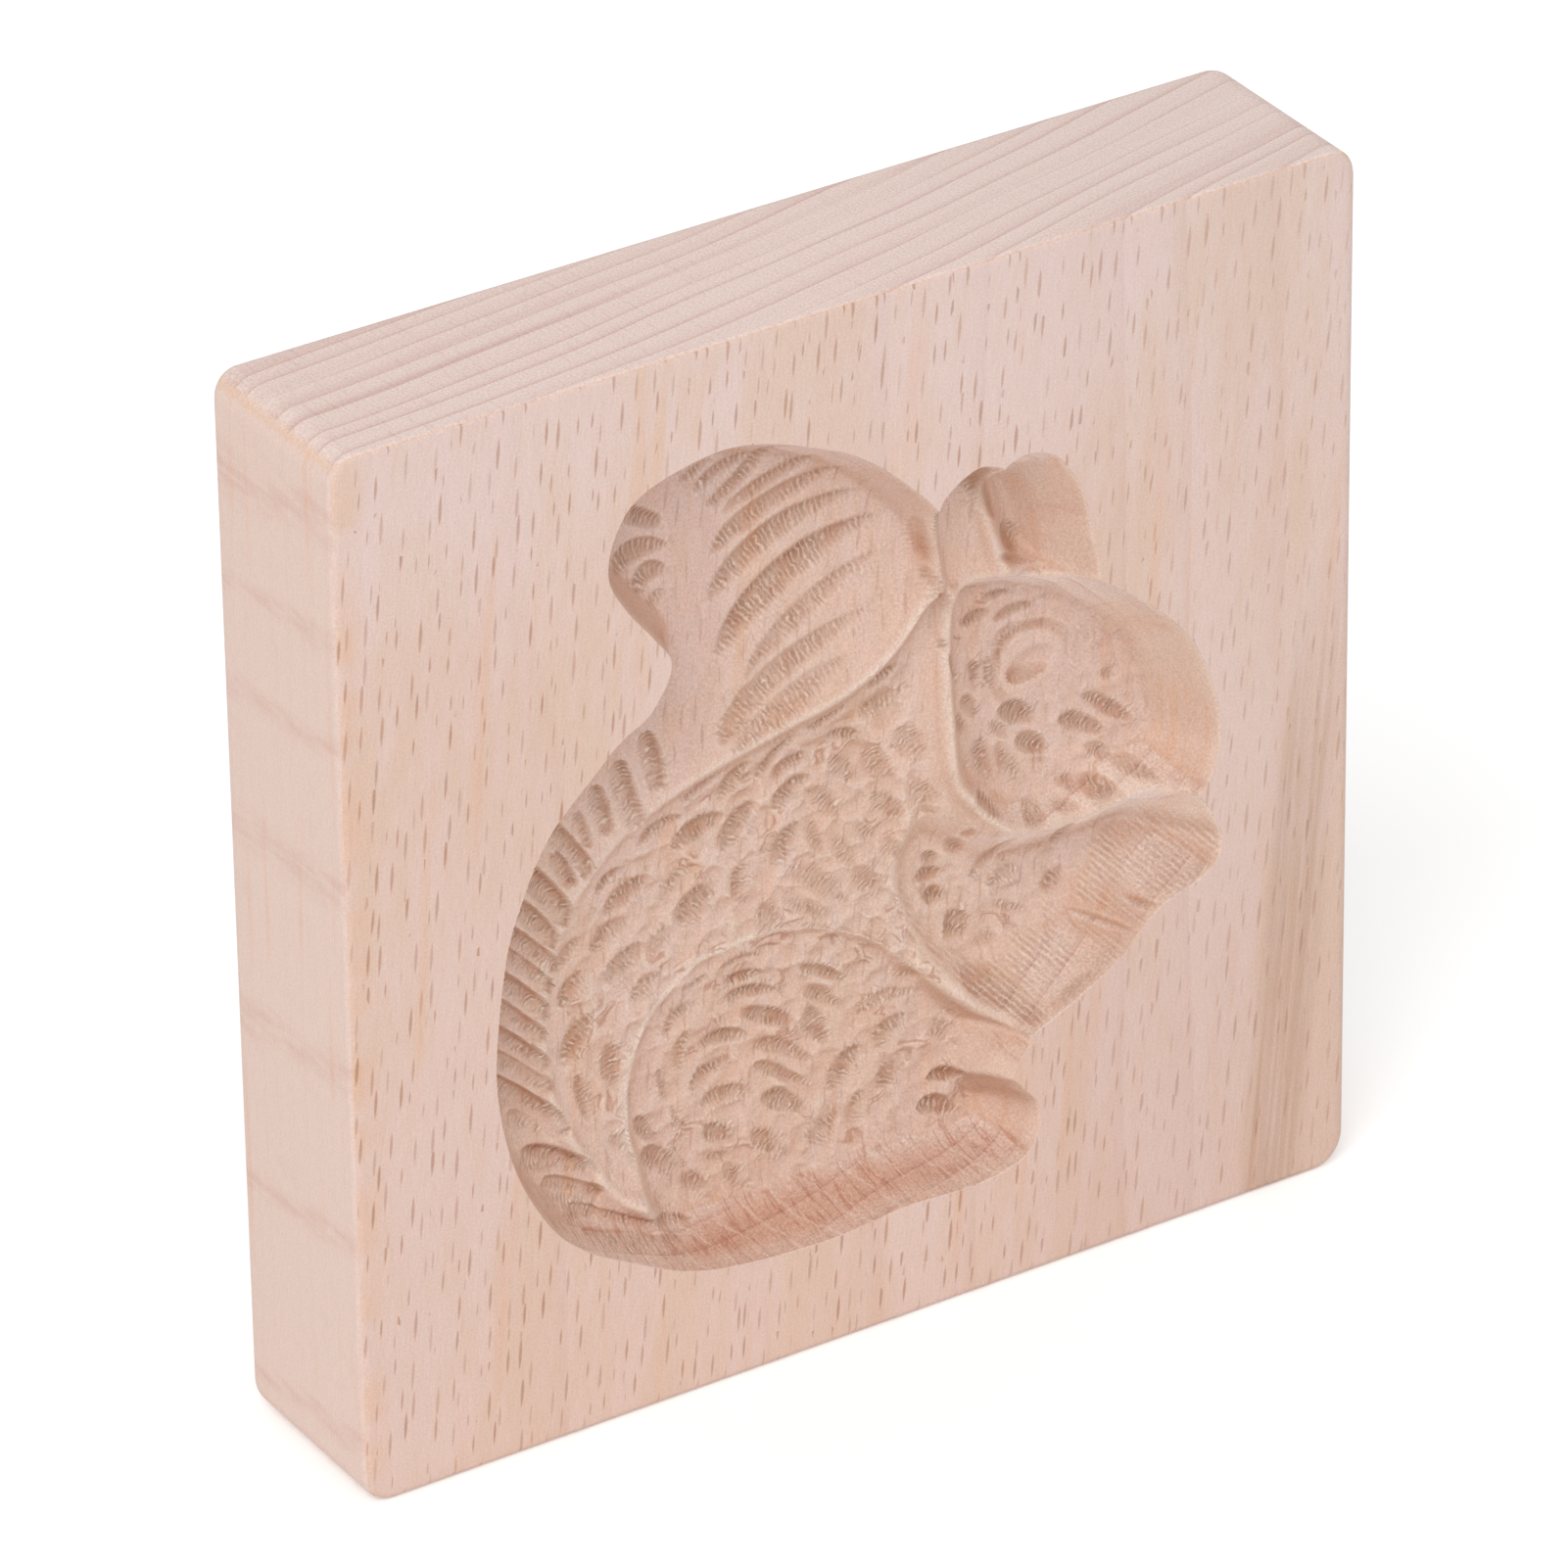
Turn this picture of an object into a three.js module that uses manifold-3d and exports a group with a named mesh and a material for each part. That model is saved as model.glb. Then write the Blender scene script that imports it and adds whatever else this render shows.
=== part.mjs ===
// A carved cookie mould: one board of beech with the hollow of a sitting squirrel in its front face.
// Millimetres, +Z up. The front face looks along -Y, and the origin is at the middle of the face
// that the board stands on.

import * as THREE from 'three';
import { mergeVertices } from 'three/addons/utils/BufferGeometryUtils.js';
import Module from 'manifold-3d';

// Driving dimensions of the board
const BOARD_WIDTH = 100;
const BOARD_HEIGHT = 100;
const BOARD_THICKNESS = 20;
const CORNER_RADIUS = 2.6;
const ARRIS_RADIUS = 1.2;

// How finely the rounded edges and the hollow are faceted
const CORNER_STEPS = 4;
const ARRIS_STEPS = 3;
const OUTLINE_STEPS = 5;
const CARVING_STEP = 1.3;

// Each cutter reaches this far out of the board, and its floor rises this far past the face
// outside its outline, so that the face cuts it on a clean line.
const CUTTER_REACH = 3;
const CUTTER_RISE = 1.5;

// How the wall of every bowl bends: 1 is a sine curve, and less is fuller at its foot.
const WALL_FULLNESS = 0.9;
const OUTSIDE_SLOPE = 1.4;

// The hollow is a set of bowls that meet in ridges, as the carver cuts one form after another.
// wall: how deep its wall goes, over a width of run. crown: how much deeper its floor still gets,
// most of it within reach. outline: [x, z] points on the face that a closed curve passes through.
const BOWLS = {
  tail: {
    wall: 3.6,
    run: 2.2,
    crown: 1.6,
    reach: 5,
    outline: [
      [-17, 12.2], [-24, 15.5], [-28.5, 18.4], [-31.8, 22.3], [-34.8, 29], [-36.1, 37.5], [-35, 48],
      [-33.3, 53.5], [-30.5, 59], [-26.5, 63], [-23.4, 65.8], [-20.3, 67.7], [-18.3, 71.5],
      [-20, 74.5], [-22.6, 78], [-24.2, 81.5], [-23.3, 85.5], [-20.5, 88.4], [-14, 90], [-9, 89.4],
      [-4, 87.5], [0, 85.5], [4, 82.2], [8, 77.7], [9.3, 73.5], [9.3, 68.5], [7.5, 64], [3, 60.2],
      [-1.5, 58.6], [-12.5, 56], [-17.5, 54], [-21.5, 51], [-24.5, 47.5], [-26.5, 44],
      [-27.6, 39.3], [-27.7, 35.3], [-26.8, 30], [-25, 26], [-20.5, 19.5], [-17, 16],
    ],
  },
  body: {
    wall: 4,
    run: 3,
    crown: 2,
    reach: 7,
    outline: [
      [-21, 16.5], [-24.3, 19], [-29, 27.5], [-30.6, 33], [-30.9, 39], [-29.8, 45], [-27, 50.8],
      [-22.5, 55.2], [-17, 58], [-11, 59.8], [-1.5, 61.8], [2.5, 63.2], [5.5, 65.2], [8, 68.5],
      [11, 70], [12.5, 66], [12.9, 54], [14, 49], [17.5, 44.5], [20, 40], [19, 34], [14, 25],
      [8, 20], [-2, 16], [-12, 14.5],
    ],
  },
  haunch: {
    wall: 5.6,
    run: 3.2,
    crown: 1.6,
    reach: 7,
    outline: [
      [-22, 22], [-22.5, 26], [-22.2, 30], [-20.5, 34.5], [-18, 37.7], [-14, 40.5], [-10.5, 41.2],
      [-5, 41.4], [0.8, 39.8], [6.5, 36.4], [10.5, 32], [13.5, 28.2], [16.8, 24], [16.2, 22.5],
      [15.1, 20.6], [14, 13.5], [11, 11.1], [4, 11.2], [-5, 10.6], [-16, 11.8], [-19.5, 14.5],
    ],
  },
  foot: {
    wall: 5.4,
    run: 3.2,
    crown: 1,
    reach: 5,
    outline: [
      [16.5, 18.5], [17.5, 17.3], [17.9, 15.5], [17.5, 13.8], [16.5, 12.3], [14.8, 11.5], [12, 11],
      [8, 11.2], [3, 12], [1, 16], [3, 20.5], [7, 22.5], [11, 22.3], [15, 20.2],
    ],
  },
  arm: {
    wall: 5.6,
    run: 6.4,
    crown: 1.4,
    reach: 5,
    outline: [
      [35, 41], [36.3, 38.3], [36.6, 37], [36.2, 35.5], [34.5, 34], [30, 32.3], [26, 28.7],
      [22, 26.3], [17, 24], [14, 23.5], [10.5, 25.5], [7, 29], [4.5, 33], [2.8, 38], [3, 43],
      [5.5, 47.5], [10, 49.5], [15, 46.5], [18, 44.2], [24, 43.6], [30, 44], [33, 43],
    ],
  },
  head: {
    wall: 5.6,
    run: 3.6,
    crown: 1.4,
    reach: 6,
    outline: [
      [24.3, 66.2], [29, 62.5], [32, 59.5], [34.3, 56], [36, 51], [36.4, 47], [35.5, 44], [34, 42.2],
      [30.3, 41.5], [24, 39.8], [20.5, 39.8], [17.2, 40.7], [14.7, 42.6], [12.5, 45.1], [10.9, 47.5],
      [10.2, 51.3], [9.6, 60], [9.9, 66.5], [11.5, 68.9], [14.5, 69.4], [18.5, 68.7], [22, 67.4],
    ],
  },
  far_ear: {
    wall: 3.6,
    run: 2,
    crown: 0.6,
    reach: 4,
    outline: [
      [8, 77.7], [9, 79.3], [10.5, 80.3], [12, 80.8], [13.3, 80.5], [14.4, 79.8], [15.3, 77],
      [16.6, 71], [17, 68], [14, 66], [10.5, 66.5], [9, 69], [8.3, 73],
    ],
  },
  near_ear: {
    wall: 4.6,
    run: 4.4,
    crown: 1.6,
    reach: 4,
    outline: [
      [14.4, 79.8], [16, 80.6], [17.5, 80.6], [19, 80], [20.2, 79], [22.3, 75.5], [23.4, 70.5],
      [24, 66.3], [21, 64.5], [17.5, 65.5], [14.8, 68.5], [12.9, 74], [12.7, 77.5],
    ],
  },
};

const beech = new THREE.MeshStandardMaterial({ color: 0xe2c7b4, roughness: 0.75, metalness: 0 });

const wasm = await Module();
wasm.setup();

// The board: a rounded square with rounded arrises, laid so that its thickness runs along Y.
function boardGeometry() {
  const halfWidth = BOARD_WIDTH / 2 - CORNER_RADIUS;
  const low = CORNER_RADIUS;
  const high = BOARD_HEIGHT - CORNER_RADIUS;
  const face = new THREE.Shape();
  face.absarc(halfWidth, low, CORNER_RADIUS, -Math.PI / 2, 0);
  face.absarc(halfWidth, high, CORNER_RADIUS, 0, Math.PI / 2);
  face.absarc(-halfWidth, high, CORNER_RADIUS, Math.PI / 2, Math.PI);
  face.absarc(-halfWidth, low, CORNER_RADIUS, Math.PI, 1.5 * Math.PI);
  const board = new THREE.ExtrudeGeometry(face, {
    depth: BOARD_THICKNESS - 2 * ARRIS_RADIUS,
    steps: 1,
    curveSegments: CORNER_STEPS,
    bevelEnabled: true,
    bevelThickness: ARRIS_RADIUS,
    bevelSize: ARRIS_RADIUS,
    bevelOffset: -ARRIS_RADIUS,
    bevelSegments: ARRIS_STEPS,
  });
  board.translate(0, 0, ARRIS_RADIUS - BOARD_THICKNESS / 2);
  board.rotateX(Math.PI / 2);
  return board;
}

// The corners of a closed curve through the outline's points.
function outlineCorners(outline) {
  const points = outline.map(([x, z]) => new THREE.Vector3(x, z, 0));
  const curve = new THREE.CatmullRomCurve3(points, true, 'catmullrom', 0.5);
  return curve.getPoints(points.length * OUTLINE_STEPS).slice(0, -1);
}

// How far a point of the face is inside the outline, negative outside it.
function distanceInside(x, z, corners) {
  let nearest = Infinity;
  let inside = false;
  corners.forEach((from, i) => {
    const to = corners[(i + 1) % corners.length];
    const alongX = to.x - from.x;
    const alongZ = to.y - from.y;
    const lengthSquared = alongX ** 2 + alongZ ** 2;
    const share = ((x - from.x) * alongX + (z - from.y) * alongZ) / lengthSquared;
    const t = THREE.MathUtils.clamp(share, 0, 1);
    nearest = Math.min(nearest, Math.hypot(x - from.x - t * alongX, z - from.y - t * alongZ));
    const crosses = from.y > z !== to.y > z;
    if (crosses && x < from.x + ((z - from.y) * alongX) / alongZ) {
      inside = !inside;
    }
  });
  return inside ? nearest : -nearest;
}

// The bowl's depth below the face at a distance inside its outline.
function bowlDepth(bowl, distance) {
  if (distance < 0) {
    const outside = (distance * OUTSIDE_SLOPE * bowl.wall) / bowl.run;
    return Math.max(outside, -CUTTER_RISE);
  }
  const upTheWall = Math.min(distance / bowl.run, 1) * (Math.PI / 2);
  const wall = bowl.wall * Math.sin(upTheWall) ** WALL_FULLNESS;
  return wall + bowl.crown * (1 - Math.exp(-distance / bowl.reach));
}

// A cutter for one bowl: its floor is a grid of depths, closed by flat sides and a flat top that
// lies in front of the board.
function bowlCutter(bowl) {
  const corners = outlineCorners(bowl.outline);
  const margin = CARVING_STEP;
  const lowX = Math.min(...corners.map((p) => p.x)) - margin;
  const lowZ = Math.min(...corners.map((p) => p.y)) - margin;
  const columns = Math.ceil((Math.max(...corners.map((p) => p.x)) + margin - lowX) / CARVING_STEP);
  const rows = Math.ceil((Math.max(...corners.map((p) => p.y)) + margin - lowZ) / CARVING_STEP);
  const face = -BOARD_THICKNESS / 2;
  const positions = [];
  for (const isTop of [false, true]) {
    for (let row = 0; row <= rows; row++) {
      for (let column = 0; column <= columns; column++) {
        const x = lowX + column * CARVING_STEP;
        const z = lowZ + row * CARVING_STEP;
        const floor = face + bowlDepth(bowl, distanceInside(x, z, corners));
        positions.push(x, isTop ? face - CUTTER_REACH : floor, z);
      }
    }
  }
  const perRow = columns + 1;
  const top = perRow * (rows + 1);
  const triangles = [];
  for (let row = 0; row < rows; row++) {
    for (let column = 0; column < columns; column++) {
      const a = row * perRow + column;
      const b = a + 1;
      const c = a + perRow;
      const d = c + 1;
      triangles.push(a, c, b, b, c, d);
      triangles.push(top + a, top + b, top + c, top + b, top + d, top + c);
    }
  }
  const wallBetween = (a, b) => triangles.push(a, b, top + a, b, top + b, top + a);
  for (let column = 0; column < columns; column++) {
    wallBetween(column, column + 1);
    wallBetween(rows * perRow + column + 1, rows * perRow + column);
  }
  for (let row = 0; row < rows; row++) {
    wallBetween((row + 1) * perRow, row * perRow);
    wallBetween(row * perRow + columns, (row + 1) * perRow + columns);
  }
  const geometry = new THREE.BufferGeometry();
  geometry.setAttribute('position', new THREE.Float32BufferAttribute(positions, 3));
  geometry.setIndex(triangles);
  return geometry;
}

function toSolid(geometry) {
  const bare = geometry.clone();
  bare.deleteAttribute('normal');
  bare.deleteAttribute('uv');
  const merged = mergeVertices(bare);
  return new wasm.Manifold(
    new wasm.Mesh({
      numProp: 3,
      vertProperties: new Float32Array(merged.attributes.position.array),
      triVerts: new Uint32Array(merged.index.array),
    }),
  );
}

function toGeometry(solid) {
  const mesh = solid.getMesh();
  const geometry = new THREE.BufferGeometry();
  geometry.setAttribute('position', new THREE.BufferAttribute(mesh.vertProperties, 3));
  geometry.setIndex(new THREE.BufferAttribute(mesh.triVerts, 1));
  geometry.computeVertexNormals();
  return geometry;
}

// The board with every bowl cut out of it in turn.
function mouldBlock() {
  let block = toSolid(boardGeometry());
  for (const bowl of Object.values(BOWLS)) {
    block = block.subtract(toSolid(bowlCutter(bowl)));
  }
  const mesh = new THREE.Mesh(toGeometry(block), beech);
  mesh.name = 'mould_block';
  mesh.position.set(0, 0, 0);
  return mesh;
}

const cookieMould = new THREE.Group();
cookieMould.add(mouldBlock());

export default cookieMould;
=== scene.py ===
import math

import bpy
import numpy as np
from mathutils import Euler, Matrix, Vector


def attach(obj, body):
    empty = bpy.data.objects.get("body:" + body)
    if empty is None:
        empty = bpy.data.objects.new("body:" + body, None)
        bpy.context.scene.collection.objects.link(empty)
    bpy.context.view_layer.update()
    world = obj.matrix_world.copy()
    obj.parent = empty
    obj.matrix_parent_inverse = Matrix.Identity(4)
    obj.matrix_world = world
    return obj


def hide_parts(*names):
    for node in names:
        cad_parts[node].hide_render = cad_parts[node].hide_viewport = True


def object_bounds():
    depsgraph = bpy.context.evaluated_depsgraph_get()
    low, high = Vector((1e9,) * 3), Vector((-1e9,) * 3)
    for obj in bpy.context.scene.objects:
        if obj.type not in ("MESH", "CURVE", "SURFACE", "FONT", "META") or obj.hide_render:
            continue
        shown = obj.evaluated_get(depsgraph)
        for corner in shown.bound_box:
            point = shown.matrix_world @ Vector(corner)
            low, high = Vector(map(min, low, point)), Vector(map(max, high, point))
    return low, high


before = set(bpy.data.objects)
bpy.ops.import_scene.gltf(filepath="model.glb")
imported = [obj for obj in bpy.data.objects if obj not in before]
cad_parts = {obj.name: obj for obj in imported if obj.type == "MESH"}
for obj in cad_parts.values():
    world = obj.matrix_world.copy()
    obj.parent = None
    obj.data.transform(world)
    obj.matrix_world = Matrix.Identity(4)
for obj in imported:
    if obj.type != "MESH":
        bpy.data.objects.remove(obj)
cad_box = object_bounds()

# The look of a beech cookie mould: a sanded board with a squirrel carved into its front face.
# The carving is worked out in millimetres, in the frame's axes: x to the right, z up, and depth
# into the board from the front face, which looks along -Y. Meshes are made in metres.

MM = 0.001
LOW, HIGH = (np.array(corner) / MM for corner in cad_box)
WIDTH = HIGH[0] - LOW[0]
FRONT = LOW[1]

# The camera stands where the photograph was taken from, with a long lens
CAMERA_PLACE = (-460.8, -734.81, 553.55)
CAMERA_TURN = (59.837, 0.727, -32.436)
LENS, SENSOR = 273.0, 36.0
CAMERA_REACH = (0.1, 10.0)

# The cutter's passes run down to the right across the front face, this far apart, with so many
# to each side of the carving's middle, and samples this close across and along them.
PASS_ANGLE = -42.0
PASS_WIDTH = 0.56
PASSES = 104
SAMPLES_PER_PASS = 4
SAMPLE_ALONG = 0.36
CARVED_MIDDLE = (0.0, 50.0)
CARVED_REACH = 44.0

# Outside its outline each bowl rises past the face at this slope, up to this height, and the
# cutter ends this far in front of the face. A wall whose fullness is below 1 is fuller than a
# quarter circle, and its foot is at this share of its run.
OUTSIDE_SLOPE = 1.4
CUTTER_RISE = 0.6
CUTTER_REACH = 3.0
WALL_FULLNESS = 0.9
WALL_FOOT = 0.7
OUTLINE_STEPS = 8

# The hollow is a set of bowls that meet in ridges. Each has how deep its wall goes over a width
# of run, how much deeper its floor still gets, mostly within reach, and the points on the face
# that its closed outline passes through.
BOWLS = {
    "tail": (3.6, 2.2, 1.6, 5, [
        (-17, 12.2), (-24, 15.5), (-28.5, 18.4), (-31.8, 22.3), (-34.8, 29), (-36.1, 37.5),
        (-35, 48), (-33.3, 53.5), (-30.5, 59), (-26.5, 63), (-23.4, 65.8), (-20.3, 67.7),
        (-18.3, 71.5), (-20, 74.5), (-22.6, 78), (-24.2, 81.5), (-23.3, 85.5), (-20.5, 88.4),
        (-14, 90), (-9, 89.4), (-4, 87.5), (0, 85.5), (4, 82.2), (8, 77.7), (9.3, 73.5),
        (9.3, 68.5), (7.5, 64), (3, 60.2), (-1.5, 58.6), (-12.5, 56), (-17.5, 54),
        (-21.5, 51), (-24.5, 47.5), (-26.5, 44), (-27.6, 39.3), (-27.7, 35.3), (-26.8, 30),
        (-25, 26), (-20.5, 19.5), (-17, 16)]),
    "body": (4, 3, 2, 7, [
        (-21, 16.5), (-24.3, 19), (-29, 27.5), (-30.6, 33), (-30.9, 39), (-29.8, 45),
        (-27, 50.8), (-22.5, 55.2), (-17, 58), (-11, 59.8), (-1.5, 61.8), (2.5, 63.2),
        (5.5, 65.2), (8, 68.5), (11, 70), (12.5, 66), (12.9, 54), (14, 49), (17.5, 44.5),
        (20, 40), (19, 34), (14, 25), (8, 20), (-2, 16), (-12, 14.5)]),
    "haunch": (5.6, 3.2, 1.6, 7, [
        (-22, 22), (-22.5, 26), (-22.2, 30), (-20.5, 34.5), (-18, 37.7), (-14, 40.5),
        (-10.5, 41.2), (-5, 41.4), (0.8, 39.8), (6.5, 36.4), (10.5, 32), (13.5, 28.2),
        (16.8, 24), (16.2, 22.5), (15.1, 20.6), (14, 13.5), (11, 11.1), (4, 11.2),
        (-5, 10.6), (-16, 11.8), (-19.5, 14.5)]),
    "foot": (5.4, 3.2, 1, 5, [
        (16.5, 18.5), (17.5, 17.3), (17.9, 15.5), (17.5, 13.8), (16.5, 12.3), (14.8, 11.5),
        (12, 11), (8, 11.2), (3, 12), (1, 16), (3, 20.5), (7, 22.5), (11, 22.3), (15, 20.2)]),
    "arm": (5.6, 6.4, 1.4, 5, [
        (35, 41), (36.3, 38.3), (36.6, 37), (36.2, 35.5), (34.5, 34), (30, 32.3),
        (26, 28.7), (22, 26.3), (17, 24), (14, 23.5), (10.5, 25.5), (7, 29), (4.5, 33),
        (2.8, 38), (3, 43), (5.5, 47.5), (10, 49.5), (15, 46.5), (18, 44.2), (24, 43.6),
        (30, 44), (33, 43)]),
    "head": (5.6, 3.6, 1.4, 6, [
        (24.3, 66.2), (29, 62.5), (32, 59.5), (34.3, 56), (36, 51), (36.4, 47), (35.5, 44),
        (34, 42.2), (30.3, 41.5), (24, 39.8), (20.5, 39.8), (17.2, 40.7), (14.7, 42.6),
        (12.5, 45.1), (10.9, 47.5), (10.2, 51.3), (9.6, 60), (9.9, 66.5), (11.5, 68.9),
        (14.5, 69.4), (18.5, 68.7), (22, 67.4)]),
    "far_ear": (3.6, 2, 0.6, 4, [
        (8, 77.7), (9, 79.3), (10.5, 80.3), (12, 80.8), (13.3, 80.5), (14.4, 79.8),
        (15.3, 77), (16.6, 71), (17, 68), (14, 66), (10.5, 66.5), (9, 69), (8.3, 73)]),
    "near_ear": (4.6, 4.4, 1.6, 4, [
        (14.4, 79.8), (16, 80.6), (17.5, 80.6), (19, 80), (20.2, 79), (22.3, 75.5),
        (23.4, 70.5), (24, 66.3), (21, 64.5), (17.5, 65.5), (14.8, 68.5), (12.9, 74),
        (12.7, 77.5)]),
}

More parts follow.
